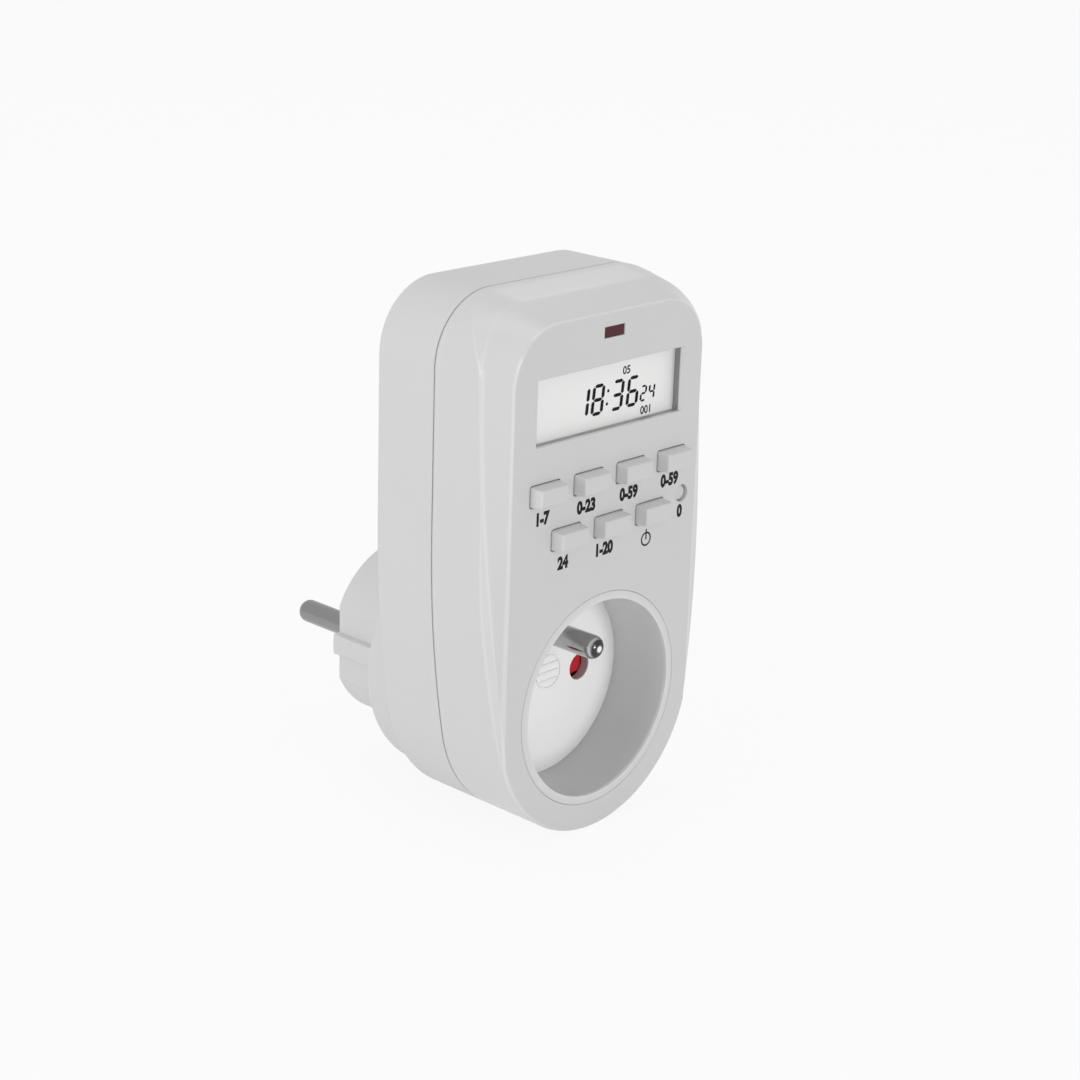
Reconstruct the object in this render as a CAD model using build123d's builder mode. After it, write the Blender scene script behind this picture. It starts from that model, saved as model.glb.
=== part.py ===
# Digital plug-in timer with a socket in its front, in millimetres.
# X points right as seen from the front, Y points back into the wall, and Z points up.
# The origin is midway between the two plug pins, on the end face of the plug.
# Depths below are counted back from the front face of the housing.
import os
from math import atan2, degrees, sqrt

from build123d import *

os.makedirs("parts", exist_ok=True)

# Housing outline about the common axis of the plug and the socket
half_width = 30.4
top_height = 81.0
foot_radius = 27.15
corner_radius = 13.5
side_radius = 220.0

# Housing depths and walls
front_depth = 16.2
rear_depth = 15.0
plinth_height = 8.3
plug_length = 17.2
wall = 2.0
face_wall = 2.0
face_inset = 1.2
edge_round = 0.8
front_edge_cut = 0.45
seam_gap = 0.25
seam_gap_depth = 0.6
lip_height = 1.5
lip_gap = 0.1

# Flat face, and the sloping band around it: its spread is given this far back
face_half_width = 25.9
face_top_margin = 4.3
face_corner = 11.0
face_edge_round = 0.5
band_foot = -7.0
band_middle = 29.0
band_reach = 10.0
band_top_spread = 4.1
band_side_spread = 10.7
band_middle_spread = 19.5
band_foot_spread = 40.2
band_corner_height = 8.35
band_corner_width = 18.65
band_corner_bulge = 0.95

# Shoulder between the band and the walls: a thin facet down the sides, wide round the top
shoulder_reach = 15.0
shoulder_top_inset = 2.7
shoulder_side_inset = 1.7
shoulder_middle_inset = 1.9
shoulder_foot_inset = 4.8
shoulder_corner_height = 9.9
shoulder_corner_width = 11.95
shoulder_corner_bulge = 2.45
shoulder_top_spread = 2.95
shoulder_side_spread = 5.25
shoulder_middle_spread = 8.4
shoulder_foot_spread = 17.0
shoulder_back_corner_height = 9.45
shoulder_back_corner_width = 17.35
shoulder_back_corner_bulge = 2.15

# Hollow of the front shell, in two steps that follow the shoulder
hollow_depth = 7.0
hollow_corner = 16.5
hollow_top_margin = 3.6
wide_hollow_depth = 12.0

# Plinth and plug
plinth_radius = 24.9
plug_radius = 18.7
plug_half_flat = 17.0
plug_rib_half_width = 2.1
plug_end_wall = 3.0
plug_edge_cut = 0.5

# Standard pins and their spacing
pin_radius = 2.4
pin_spacing = 19.0
pin_length = 19.0
pin_tip_round = 1.9
pin_root_radius = 2.65
pin_collar_radius = 3.6
pin_collar = 1.5
pin_tail_radius = 1.6
pin_tail = 3.6
earth_height = 10.0
earth_hole_radius = 2.75

# Socket cup
well_radius = 20.0
well_depth = 14.0
cup_radius = 21.65
cup_floor = 2.0
cup_gap = 0.07
cup_flange_radius = 23.6
cup_flange = 1.6
contact_hole_radius = 2.8
earth_pin_set_back = 0.4
earth_pin_root_radius = 2.6
earth_pin_root = 0.3
earth_pin_flange_radius = 3.5
earth_pin_flange = 1.0
mark_radius = 3.6
mark_line = 0.35
mark_height = 0.12
mark_x = 0.5
mark_z = 1.2
mark_bar_pitch = 1.7

# Shutter behind the contact holes
shutter_gap = 0.2
shutter_arm = 1.4
shutter_hub = 2.8
shutter_half_length = 13.2
shutter_half_width = 3.05
shutter_hub_radius = 4.2
shutter_bore_gap = 0.05
shutter_ramp = 1.0
shutter_corner = 1.0
pivot_radius = 2.0
spring_wire = 0.4
spring_turns = 1.5
spring_pitch = 0.45
spring_gap = 0.3

# Contact block and spring contacts
block_gap = 0.2
block_radius = 18.0
block_depth = 14.8
block_front_wall = 1.5
block_post_x = 6.5
block_post_z = -13.2
block_post_radius = 2.6
block_ledge_depth = 22.0
strip = 0.8
contact_half_width = 4.3
contact_height = 5.0
contact_pinch = 2.3
contact_pinch_depth = 24.0
contact_mouth = 3.6
contact_mouth_depth = 21.4
pocket_gap = 0.2

# Screen stack
window_left_margin = 5.8
window_right_margin = 5.7
window_drop = 12.45
window_height = 12.7
window_lip_width = 0.75
window_lip_depth = 0.5
lens_margin = 1.5
lens_depth = 0.6
panel_depth = 2.2
panel_margin = 1.7
panel_gap = 0.2
screen_frame_wall = 1.6
frame_post_gap = 0.3
rubber_width = 2.2
rubber_margin = 1.3
rubber_offset = 6.4

# Status light
light_x = 0.2
light_drop = 8.0
light_width = 5.6
light_height = 2.15
light_set_back = 0.2
light_flange = 0.8
light_gap = 0.08
led_radius = 1.5
led_depth = 3.3
led_rim = 0.3
led_rim_height = 1.0

# Push buttons: a row's share is its height between the cup's flange and the screen's frame
button_width = 8.2
button_height = 4.4
button_gap = 0.22
button_rise = 2.7
button_draft = 0.3
button_round = 0.4
button_pitch = 11.8
upper_row_x = 0.4
upper_row_share = 0.793
lower_row_x = 0.6
lower_row_share = 0.439
button_corner = 0.4
button_flange_margin = 0.9
button_flange = 1.0
button_flange_gap = 0.1
reset_x = 21.9
reset_rise = 1.7
reset_hole_radius = 1.75
reset_gap = 0.2
reset_set_back = 0.6
reset_edge_cut = 0.2
reset_flange_radius = 2.5

# Boards
board = 1.6
control_depth = 8.0
control_side_gap = 1.8
control_foot_margin = 7.3
control_top_margin = 4.0
power_depth = 27.2
power_side_gap = 2.4
power_foot = 30.0
power_top_margin = 4.5
board_gap = 0.5
board_corner = 7.0
switch_size = 4.5
switch_body = 3.1
switch_plunger_radius = 1.3
switch_plunger = 0.8

# Parts on the boards: place and size; a drop is measured down from the header
chip_place = (-8.0, 45.0)
chip_size = 10.0
chip_height = 1.6
chip_edge_cut = 0.3
can_edge_cut = 0.6
battery_x = 12.0
battery_drop = 11.0
battery_radius = 5.6
battery_height = 5.0
crystal_place = (5.0, 49.0)
crystal_length = 8.0
crystal_width = 3.2
crystal_height = 3.0
relay_x = -10.0
relay_gap = 1.25
relay_width = 15.5
relay_length = 19.0
relay_height = 15.0
dropper_place = (13.2, 44.0)
dropper_width = 13.0
dropper_length = 6.0
dropper_height = 12.0
smoothing_x = 14.0
smoothing_drop = 14.5
smoothing_radius = 4.0
smoothing_height = 9.0
fuse_place = (-14.0, 40.0)
fuse_radius = 4.2
fuse_height = 7.0
varistor_place = (-0.5, 42.0)
varistor_radius = 4.0
varistor_thickness = 3.0
bridge_x = 3.5
bridge_drop = 16.0
bridge_size = 6.0
bridge_height = 3.0
header_margin = 7.0
header_pins = 8
header_spacing = 2.54
header_width = 2.5
header_block = 2.5
header_pin = 0.64

# Fasteners
screw_side_margin = 2.4
screw_top_margin = 9.0
screw_foot_margin = 3.35
screw_z_foot = 30.0
screw_radius = 1.4
screw_head_radius = 2.6
screw_head = 1.8
screw_head_gap = 0.3
screw_ledge_depth = 22.0
screw_end_depth = 6.5
post_radius = 3.0
post_front_depth = 5.2
post_wall = 1.6
small_screw_radius = 1.0
small_head_radius = 1.9
small_head = 1.3
small_screw_reach = 3.5
small_post_radius = 1.9
small_screw_gap = 0.2
control_screw_x_top = 13.0
control_screw_drop = 8.0
control_screw_x_foot = 6.5
control_screw_below_row = 5.2
power_screw_x = 20.0
power_screw_z = 52.0
power_screw_bite = 1.6
drive_width = 0.6
drive_share = 1.2
drive_depth = 0.7

# Earth clips on the plug
clip_half_width = 2.2
clip_seat = 17.7
clip_strip = 0.9
clip_leg_end = 15.0
clip_start = 15.2
clip_gap = 0.1
sleeve_wall = 0.6
sleeve_gap = 0.05
plate_gap = 0.1
plate_thickness = 2.0

# Strips that carry the current
strap_half_width = 1.5
strap_tab_half_height = 2.0
strap_reach = 16.2
live_bus_outer = 12.5
live_bus_inner = 9.0
live_tab_inner = 6.5
live_tab_half_height = 3.0
live_bus_rise = 9.9
live_bus_depth = 36.0
live_bus_pass = 17.0
branch_outer = 6.0
branch_inner = 2.0
branch_pass = 19.0
neutral_bus_x = 13.4
neutral_tab_inner = 6.5

# Depths that follow from the ones above
seam_depth = front_depth
rear_face_depth = front_depth + rear_depth
plinth_depth = rear_face_depth + plinth_height
plug_end_depth = plinth_depth + plug_length
floor_back_depth = well_depth + cup_floor
shutter_depth = floor_back_depth + shutter_gap
block_front_depth = shutter_depth + shutter_hub + block_gap
block_back_depth = block_front_depth + block_depth
pin_x = pin_spacing / 2
plug_floor_depth = plug_end_depth - plug_end_wall
collar_depth = plug_floor_depth - pin_collar
tail_end_depth = collar_depth - pin_tail
clip_depth = plug_end_depth - clip_start
sleeve_outer_radius = pin_radius + sleeve_gap + sleeve_wall
board_back_depth = control_depth + board
tab_depth = tail_end_depth + strip
branch_depth = block_back_depth + strip / 2
bus_end_depth = power_depth + board - strip / 2
earth_root_depth = well_depth - earth_pin_root

# Places in X and Z that follow from the housing and its face
face_top = top_height - face_top_margin
hollow_top = top_height - hollow_top_margin
window_width = 2 * face_half_width - window_left_margin - window_right_margin
window_x = (window_left_margin - window_right_margin) / 2
window_right = face_half_width - window_right_margin
light_z = top_height - light_drop
window_z = light_z - window_drop
panel_width = window_width + 2 * lens_margin + panel_gap
panel_height = window_height + 2 * panel_margin
frame_half_height = panel_height / 2 + panel_gap + screen_frame_wall
button_space = window_z - frame_half_height - cup_flange_radius
upper_row_z = cup_flange_radius + upper_row_share * button_space
lower_row_z = cup_flange_radius + lower_row_share * button_space
control_half_width = half_width - wall - control_side_gap
control_foot = lower_row_z - control_foot_margin
control_top = top_height - control_top_margin
power_half_width = half_width - wall - power_side_gap
power_top = top_height - power_top_margin
header_z = top_height - header_margin
battery_place = (battery_x, header_z - battery_drop)
relay_place = (relay_x, header_z - header_width / 2 - relay_gap - relay_length / 2)
smoothing_place = (smoothing_x, header_z - smoothing_drop)
bridge_place = (bridge_x, header_z - bridge_drop)
screw_x_top = face_half_width - screw_side_margin
screw_z_top = top_height - screw_top_margin
screw_x_foot = (half_width + face_half_width) / 2 - screw_foot_margin
control_screw_z_top = top_height - control_screw_drop
control_screw_z_foot = lower_row_z - control_screw_below_row


def at(depth):
    """World Y of a depth behind the front face."""
    return depth - plug_end_depth


def facing(depth):
    """Sketch plane at a depth, seen from the front, that extrudes towards the front."""
    return Plane.XZ.offset(-at(depth))


def save(piece, name):
    """Label one finished piece and write it as its own file."""
    piece.part.label = name
    export_step(piece.part, f"parts/{name}.step")


def housing_face(inset=0.0, round_top=corner_radius):
    """Housing outline, drawn inwards by an inset: round foot, bowed sides, round top corners."""
    bow_x = half_width - side_radius
    bow_z = sqrt((side_radius - foot_radius) ** 2 - bow_x**2)
    lean = degrees(atan2(-bow_z, -bow_x))
    side = half_width - inset
    top = top_height - inset
    corner = round_top - inset
    with BuildSketch() as outline:
        with BuildLine():
            CenterArc((0, 0), foot_radius - inset, -90, 90 + lean)
            CenterArc((bow_x, bow_z), side_radius - inset, lean, -lean)
            Line((side, bow_z), (side, top - corner))
            CenterArc((side - corner, top - corner), corner, 0, 90)
            Line((side - corner, top), (0, top))
            mirror(about=Plane.YZ)
        make_face()
    return outline.sketch


def face_outline(inset=0.0):
    """Outline of the flat face: straight sides, round foot and round top corners."""
    side = face_half_width - inset
    top = face_top - inset
    corner = face_corner - inset
    with BuildSketch() as outline:
        with BuildLine():
            CenterArc((0, 0), side, -90, 90)
            Line((side, 0), (side, top - corner))
            CenterArc((side - corner, top - corner), corner, 0, 90)
            Line((side - corner, top), (0, top))
            mirror(about=Plane.YZ)
        make_face()
    return outline.sketch


def block_profile(widths, top, corner_height, corner_width, bulge):
    """Section of a raised block, from its half widths at the foot, the middle and the top."""
    foot, middle, side = widths
    side_end = (side, top - corner_height)
    with BuildSketch() as profile:
        with BuildLine():
            Line((0, band_foot), (foot, band_foot))
            if foot == side:
                Line((foot, band_foot), side_end)
            else:
                ThreePointArc((foot, band_foot), (middle, band_middle), side_end)
            SagittaArc(side_end, (side - corner_width, top), -bulge)
            Line((side - corner_width, top), (0, top))
            mirror(about=Plane.YZ)
        make_face()
    return profile.sketch


def waste_outside(front_profile, back_profile, reach):
    """What lies outside a block that is lofted from the face to a wider section behind it."""
    with BuildPart() as waste:
        with BuildSketch(facing(0)):
            with Locations((0, band_foot)):
                Rectangle(4 * half_width, 2 * top_height, align=(Align.CENTER, Align.MIN))
        extrude(amount=-reach)
        with BuildSketch(facing(0)):
            add(front_profile)
        with BuildSketch(facing(reach)):
            add(back_profile)
        loft(ruled=True, mode=Mode.SUBTRACT)
    return waste.part


def button_places():
    """Names and centres of the seven large buttons, in two rows."""
    upper = ["week_button", "hour_button", "minute_button", "second_button"]
    lower = ["clock_button", "program_button", "manual_button"]
    places = {}
    for index, name in enumerate(upper):
        places[name] = (upper_row_x + (index - 1.5) * button_pitch, upper_row_z)
    for index, name in enumerate(lower):
        places[name] = (lower_row_x + (index - 1) * button_pitch, lower_row_z)
    return places


buttons = button_places()
button_centres = list(buttons.values())
reset_centre = (reset_x, lower_row_z + reset_rise)
housing_screw_places = [
    (-screw_x_top, screw_z_top),
    (screw_x_top, screw_z_top),
    (-screw_x_foot, screw_z_foot),
    (screw_x_foot, screw_z_foot),
]
control_screw_places = [
    (-control_screw_x_top, control_screw_z_top),
    (control_screw_x_top, control_screw_z_top),
    (-control_screw_x_foot, control_screw_z_foot),
    (control_screw_x_foot, control_screw_z_foot),
]
power_screw_places = [(-power_screw_x, power_screw_z), (power_screw_x, power_screw_z)]
pin_places = [(-pin_x, 0), (pin_x, 0)]
block_screw_places = [(-block_post_x, block_post_z), (block_post_x, block_post_z)]

# What is cut away outside the raised face, which leaves the sloping band
face_corner_bulge = face_corner * (1 - sqrt(0.5))
band_waste = waste_outside(
    block_profile(
        [face_half_width, face_half_width, face_half_width],
        face_top,
        face_corner,
        face_corner,
        face_corner_bulge,
    ),
    block_profile(
        [
            face_half_width + band_foot_spread,
            face_half_width + band_middle_spread,
            face_half_width + band_side_spread,
        ],
        face_top + band_top_spread,
        band_corner_height,
        band_corner_width,
        band_corner_bulge,
    ),
    band_reach,
)

# What is cut away along the shoulder
shoulder_waste = waste_outside(
    block_profile(
        [
            half_width - shoulder_foot_inset,
            half_width - shoulder_middle_inset,
            half_width - shoulder_side_inset,
        ],
        top_height - shoulder_top_inset,
        shoulder_corner_height,
        shoulder_corner_width,
        shoulder_corner_bulge,
    ),
    block_profile(
        [
            half_width - shoulder_foot_inset + shoulder_foot_spread,
            half_width - shoulder_middle_inset + shoulder_middle_spread,
            half_width - shoulder_side_inset + shoulder_side_spread,
        ],
        top_height - shoulder_top_inset + shoulder_top_spread,
        shoulder_back_corner_height,
        shoulder_back_corner_width,
        shoulder_back_corner_bulge,
    ),
    shoulder_reach,
)

# Front shell: the flat face with its cut-outs, the sloping band and the front of the side wall
with BuildPart() as front_shell:
    with BuildSketch(facing(0)):
        add(housing_face())
    extrude(amount=-front_depth)
    chamfer(front_shell.faces().sort_by(Axis.Y)[0].edges(), front_edge_cut)
    add(band_waste, mode=Mode.SUBTRACT)
    add(shoulder_waste, mode=Mode.SUBTRACT)
    face_edges = front_shell.faces().sort_by(Axis.Y)[0].edges()
    fillet(face_edges.filter_by(lambda edge: edge.center().Z > 0), face_edge_round)
    with BuildSketch(facing(seam_depth)):
        add(housing_face(wall))
    extrude(amount=front_depth - wide_hollow_depth, mode=Mode.SUBTRACT)
    with BuildSketch(facing(seam_depth)):
        add(housing_face(wall, hollow_corner))
        with Locations((0, hollow_top)):
            Rectangle(
                2 * half_width, top_height, align=(Align.CENTER, Align.MIN), mode=Mode.SUBTRACT
            )
    extrude(amount=front_depth - hollow_depth, mode=Mode.SUBTRACT)
    with BuildSketch(facing(seam_depth)):
        add(face_outline(face_inset))
    extrude(amount=front_depth - face_wall, mode=Mode.SUBTRACT)
    with BuildSketch(facing(seam_depth)):
        add(housing_face())
        add(housing_face(seam_gap_depth), mode=Mode.SUBTRACT)
    extrude(amount=seam_gap, mode=Mode.SUBTRACT)
    with BuildSketch(facing(seam_depth)):
        add(housing_face(wall / 2))
    extrude(amount=lip_height + lip_gap, mode=Mode.SUBTRACT)
    with BuildSketch(facing(seam_depth)):
        with Locations(housing_screw_places):
            Circle(post_radius)
    extrude(amount=front_depth - post_front_depth)
    with BuildSketch(facing(control_depth)):
        with Locations(control_screw_places):
            Circle(small_post_radius)
    extrude(amount=control_depth - face_wall)
    with BuildSketch(facing(seam_depth)):
        with Locations(housing_screw_places):
            Circle(screw_radius)
    extrude(amount=seam_depth - screw_end_depth, mode=Mode.SUBTRACT)
    with BuildSketch(facing(control_depth)):
        with Locations(control_screw_places):
            Circle(small_screw_radius)
    extrude(amount=small_screw_reach, mode=Mode.SUBTRACT)
    with BuildSketch(facing(0)):
        Circle(cup_radius + cup_gap)
        with Locations((window_x, window_z)):
            Rectangle(window_width, window_height)
        with Locations((light_x, light_z)):
            Rectangle(light_width, light_height)
        with Locations(button_centres):
            RectangleRounded(button_width, button_height, button_corner + button_gap)
        with Locations(reset_centre):
            Circle(reset_hole_radius)
    extrude(amount=-face_wall, mode=Mode.SUBTRACT)
    with BuildSketch(Plane.XY.offset(window_z)):
        with BuildLine():
            Polyline(
                (window_right, at(0)),
                (window_right + window_lip_width, at(0)),
                (window_right, at(window_lip_depth)),
                close=True,
            )
        make_face()
    extrude(amount=window_height / 2, both=True, mode=Mode.SUBTRACT)
save(front_shell, "front_shell")


# Rear shell: the back of the side wall and the back wall, open to the plug
with BuildPart() as rear_shell:
    with BuildSketch(facing(seam_depth)):
        add(housing_face())
    extrude(amount=-rear_depth)
    fillet(rear_shell.faces().sort_by(Axis.Y)[-1].edges(), edge_round)
    with BuildSketch(facing(seam_depth)):
        add(housing_face(wall))
    extrude(amount=wall - rear_depth, mode=Mode.SUBTRACT)
    with BuildSketch(facing(rear_face_depth)):
        Circle(plinth_radius - wall)
    extrude(amount=wall, mode=Mode.SUBTRACT)
    with BuildSketch(facing(rear_face_depth - wall)):
        with Locations(power_screw_places):
            Circle(small_post_radius)
    extrude(amount=rear_face_depth - wall - power_depth - board)
    with BuildSketch(facing(rear_face_depth - wall)):
        with Locations(housing_screw_places):
            Circle(post_radius + post_wall)
        add(housing_face(wall), mode=Mode.INTERSECT)
    extrude(amount=rear_face_depth - wall - seam_depth)
    with BuildSketch(facing(seam_depth)):
        add(housing_face(wall / 2 + lip_gap))
        add(housing_face(wall), mode=Mode.SUBTRACT)
    extrude(amount=lip_height)
    with BuildSketch(facing(rear_face_depth)):
        with Locations(housing_screw_places):
            Circle(screw_head_radius + screw_head_gap)
    extrude(amount=rear_face_depth - screw_ledge_depth, mode=Mode.SUBTRACT)
    with BuildSketch(facing(screw_ledge_depth)):
        with Locations(housing_screw_places):
            Circle(screw_radius + screw_head_gap)
    extrude(amount=screw_ledge_depth - seam_depth, mode=Mode.SUBTRACT)
    with BuildSketch(facing(power_depth + board)):
        with Locations(power_screw_places):
            Circle(small_screw_radius)
    extrude(amount=-power_screw_bite, mode=Mode.SUBTRACT)
save(rear_shell, "rear_shell")


def plug_section(inset=0.0):
    """Section of the plug: a circle with two flats, each with a rib left standing in its middle."""
    radius = plug_radius - inset
    flat = plug_half_flat - inset
    with BuildSketch() as section:
        Circle(radius)
        with Locations((-radius, 0), (radius, 0)):
            Rectangle(2 * (radius - flat), 2 * radius, mode=Mode.SUBTRACT)
        if inset == 0:
            with BuildSketch(mode=Mode.PRIVATE) as rib:
                Circle(radius)
                Rectangle(2 * radius, 2 * plug_rib_half_width, mode=Mode.INTERSECT)
            add(rib.sketch)
    return section.sketch


# Plug body: the round plinth on the back of the housing and the plug that fills the wall socket
with BuildPart() as plug_body:
    with BuildSketch(facing(rear_face_depth)):
        Circle(plinth_radius)
    extrude(amount=-plinth_height)
    fillet(plug_body.faces().sort_by(Axis.Y)[-1].edges(), edge_round)
    with BuildSketch(facing(plinth_depth)):
        add(plug_section())
    extrude(amount=-plug_length)
    chamfer(plug_body.faces().sort_by(Axis.Y)[-1].edges(), plug_edge_cut)
    with BuildSketch(facing(rear_face_depth)):
        Circle(plinth_radius - wall)
    extrude(amount=wall - plinth_height, mode=Mode.SUBTRACT)
    with BuildSketch(facing(plinth_depth - wall)):
        add(plug_section(wall))
    extrude(amount=plinth_depth - wall - plug_floor_depth, mode=Mode.SUBTRACT)
    with BuildSketch(facing(plug_end_depth)):
        with Locations(pin_places):
            Circle(pin_root_radius)
        with Locations((0, earth_height)):
            Circle(earth_hole_radius)
    extrude(amount=plug_end_wall, mode=Mode.SUBTRACT)
    with BuildSketch(facing(plug_end_depth)):
        with Locations((0, clip_seat + plug_radius / 2), (0, -clip_seat - plug_radius / 2)):
            Rectangle(2 * (clip_half_width + clip_gap), plug_radius)
    extrude(amount=clip_start, mode=Mode.SUBTRACT)
    with BuildSketch(facing(clip_depth + strip + clip_gap)):
        Rectangle(2 * (clip_half_width + clip_gap), 2 * plug_radius)
    extrude(amount=strip + clip_gap, mode=Mode.SUBTRACT)
save(plug_body, "plug_body")

# Socket cup: the round well in the face, with its floor, contact holes and shutter pivot
with BuildPart() as socket_cup:
    with BuildSketch(facing(0)):
        Circle(cup_radius)
    extrude(amount=-floor_back_depth)
    with BuildSketch(facing(face_wall)):
        Circle(cup_flange_radius)
    extrude(amount=-cup_flange)
    with BuildSketch(facing(0)):
        Circle(well_radius)
    extrude(amount=-well_depth, mode=Mode.SUBTRACT)
    with BuildSketch(facing(well_depth)):
        with Locations((mark_x, mark_z)):
            Circle(mark_radius)
            Circle(mark_radius - mark_line, mode=Mode.SUBTRACT)
        for row in (-1, 0, 1):
            bar = 2 * (mark_radius - 2 * mark_line) - abs(row) * mark_bar_pitch / 2
            with Locations((mark_x, mark_z + row * mark_bar_pitch)):
                Rectangle(bar, mark_line)
    extrude(amount=mark_height)
    with BuildSketch(facing(floor_back_depth)):
        Circle(pivot_radius)
    extrude(amount=-shutter_gap - shutter_hub)
    with BuildSketch(facing(floor_back_depth)):
        with Locations(block_screw_places):
            Circle(block_post_radius)
    extrude(amount=floor_back_depth - block_front_depth)
    with BuildSketch(facing(block_front_depth)):
        with Locations(block_screw_places):
            Circle(small_screw_radius)
    extrude(amount=block_front_depth - floor_back_depth, mode=Mode.SUBTRACT)
    with BuildSketch(facing(well_depth)):
        with Locations(pin_places):
            Circle(contact_hole_radius)
        with Locations((0, earth_height)):
            Circle(earth_pin_root_radius)
    extrude(amount=-cup_floor, mode=Mode.SUBTRACT)
save(socket_cup, "socket_cup")

# Earth pin standing in the well: a thicker root fills the hole in the floor, a flange sits
# behind the floor, and a tail runs to the earth strap
with BuildPart() as earth_pin:
    with BuildSketch(facing(earth_pin_set_back)):
        with Locations((0, earth_height)):
            Circle(pin_radius)
    extrude(amount=earth_pin_set_back - floor_back_depth)
    fillet(earth_pin.edges().sort_by(Axis.Y)[0], pin_tip_round)
    with BuildSketch(facing(earth_root_depth)):
        with Locations((0, earth_height)):
            Circle(earth_pin_root_radius)
    extrude(amount=earth_root_depth - floor_back_depth)
    with BuildSketch(facing(floor_back_depth)):
        with Locations((0, earth_height)):
            Circle(earth_pin_flange_radius)
    extrude(amount=-earth_pin_flange)
    with BuildSketch(facing(floor_back_depth + earth_pin_flange)):
        with Locations((0, earth_height)):
            Circle(pin_tail_radius)
    extrude(amount=floor_back_depth + earth_pin_flange - block_back_depth)
save(earth_pin, "earth_pin")

# Safety shutter: two arms on a hub, each with a ramp that the plug pins press aside
with BuildPart() as shutter:
    with BuildSketch(facing(shutter_depth)):
        RectangleRounded(2 * shutter_half_length, 2 * shutter_half_width, shutter_corner)
    extrude(amount=-shutter_arm)
    front_edges = shutter.faces().sort_by(Axis.Y)[0].edges()
    chamfer(front_edges.filter_by(Axis.X), shutter_ramp)
    with BuildSketch(facing(shutter_depth)):
        Circle(shutter_hub_radius)
    extrude(amount=-shutter_hub)
    with BuildSketch(facing(shutter_depth)):
        Circle(pivot_radius + shutter_bore_gap)
    extrude(amount=-shutter_hub, mode=Mode.SUBTRACT)
save(shutter, "shutter")

# Coil spring that turns the shutter back over the contact holes
spring_radius = shutter_hub_radius + spring_gap + spring_wire / 2
spring_start = (0, at(shutter_depth + shutter_arm + spring_gap), 0)
with BuildPart() as shutter_spring:
    with BuildLine() as coil:
        Helix(spring_pitch, spring_pitch * spring_turns, spring_radius, spring_start, (0, 1, 0))
    with BuildSketch(Plane(coil.line @ 0, x_dir=(0, 1, 0), z_dir=coil.line % 0)):
        Rectangle(spring_wire, spring_wire)
    sweep(is_frenet=True)
save(shutter_spring, "shutter_spring")

# Contact block: carries the socket contacts in two pockets that open to the back
with BuildPart() as contact_block:
    with BuildSketch(facing(block_front_depth)):
        Circle(block_radius)
    extrude(amount=-block_depth)
    with BuildSketch(facing(block_front_depth + block_front_wall)):
        with Locations(pin_places):
            Rectangle(2 * (contact_half_width + pocket_gap), contact_height + 2 * pocket_gap)
    extrude(amount=block_front_wall - block_depth, mode=Mode.SUBTRACT)
    with BuildSketch(facing(block_front_depth)):
        with Locations(pin_places):
            Circle(contact_hole_radius)
        with Locations((0, earth_height)):
            Circle(pin_tail_radius + pocket_gap)
        with Locations(block_screw_places):
            Circle(small_screw_radius + small_screw_gap)
    extrude(amount=-block_depth, mode=Mode.SUBTRACT)
    with BuildSketch(facing(block_back_depth)):
        with Locations(block_screw_places):
            Circle(small_head_radius + small_screw_gap)
    extrude(amount=block_back_depth - block_ledge_depth, mode=Mode.SUBTRACT)
save(contact_block, "contact_block")


def socket_contact(centre_x, name):
    """Fork of bent strip that grips one plug pin from both sides."""
    back = at(block_back_depth - strip / 2)
    half_back = contact_half_width - strip / 2
    with BuildPart() as contact:
        with BuildSketch():
            with Locations((centre_x, 0)):
                with BuildLine():
                    for side in (-1, 1):
                        Polyline(
                            (centre_x, back),
                            (centre_x + side * half_back, back),
                            (centre_x + side * contact_pinch, at(contact_pinch_depth)),
                            (centre_x + side * contact_mouth, at(contact_mouth_depth)),
                        )
                trace(line_width=strip)
        extrude(amount=contact_height / 2, both=True)
    save(contact, name)


socket_contact(-pin_x, "socket_contact_left")
socket_contact(pin_x, "socket_contact_right")


def plug_pin(centre_x, name):
    """Standard plug pin: a thicker root in the end wall, a collar and a tail inside the plug."""
    with BuildPart() as pin:
        with BuildSketch(facing(plug_end_depth)):
            with Locations((centre_x, 0)):
                Circle(pin_radius)
        extrude(amount=-pin_length)
        fillet(pin.edges().sort_by(Axis.Y)[-1], pin_tip_round)
        with BuildSketch(facing(plug_floor_depth)):
            with Locations((centre_x, 0)):
                Circle(pin_root_radius)
        extrude(amount=-plug_end_wall)
        with BuildSketch(facing(plug_floor_depth)):
            with Locations((centre_x, 0)):
                Circle(pin_collar_radius)
        extrude(amount=pin_collar)
        with BuildSketch(facing(collar_depth)):
            with Locations((centre_x, 0)):
                Circle(pin_tail_radius)
        extrude(amount=pin_tail)
    save(pin, name)


plug_pin(-pin_x, "plug_pin_left")
plug_pin(pin_x, "plug_pin_right")

# Plate that holds the collars of the plug pins against the end wall of the plug
with BuildPart() as pin_plate:
    with BuildSketch(facing(collar_depth)):
        add(plug_section(wall + plate_gap))
        with Locations(pin_places):
            Circle(pin_tail_radius, mode=Mode.SUBTRACT)
        with Locations((0, earth_height)):
            Circle(sleeve_outer_radius, mode=Mode.SUBTRACT)
    extrude(amount=plate_thickness)
save(pin_plate, "pin_plate")


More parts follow.
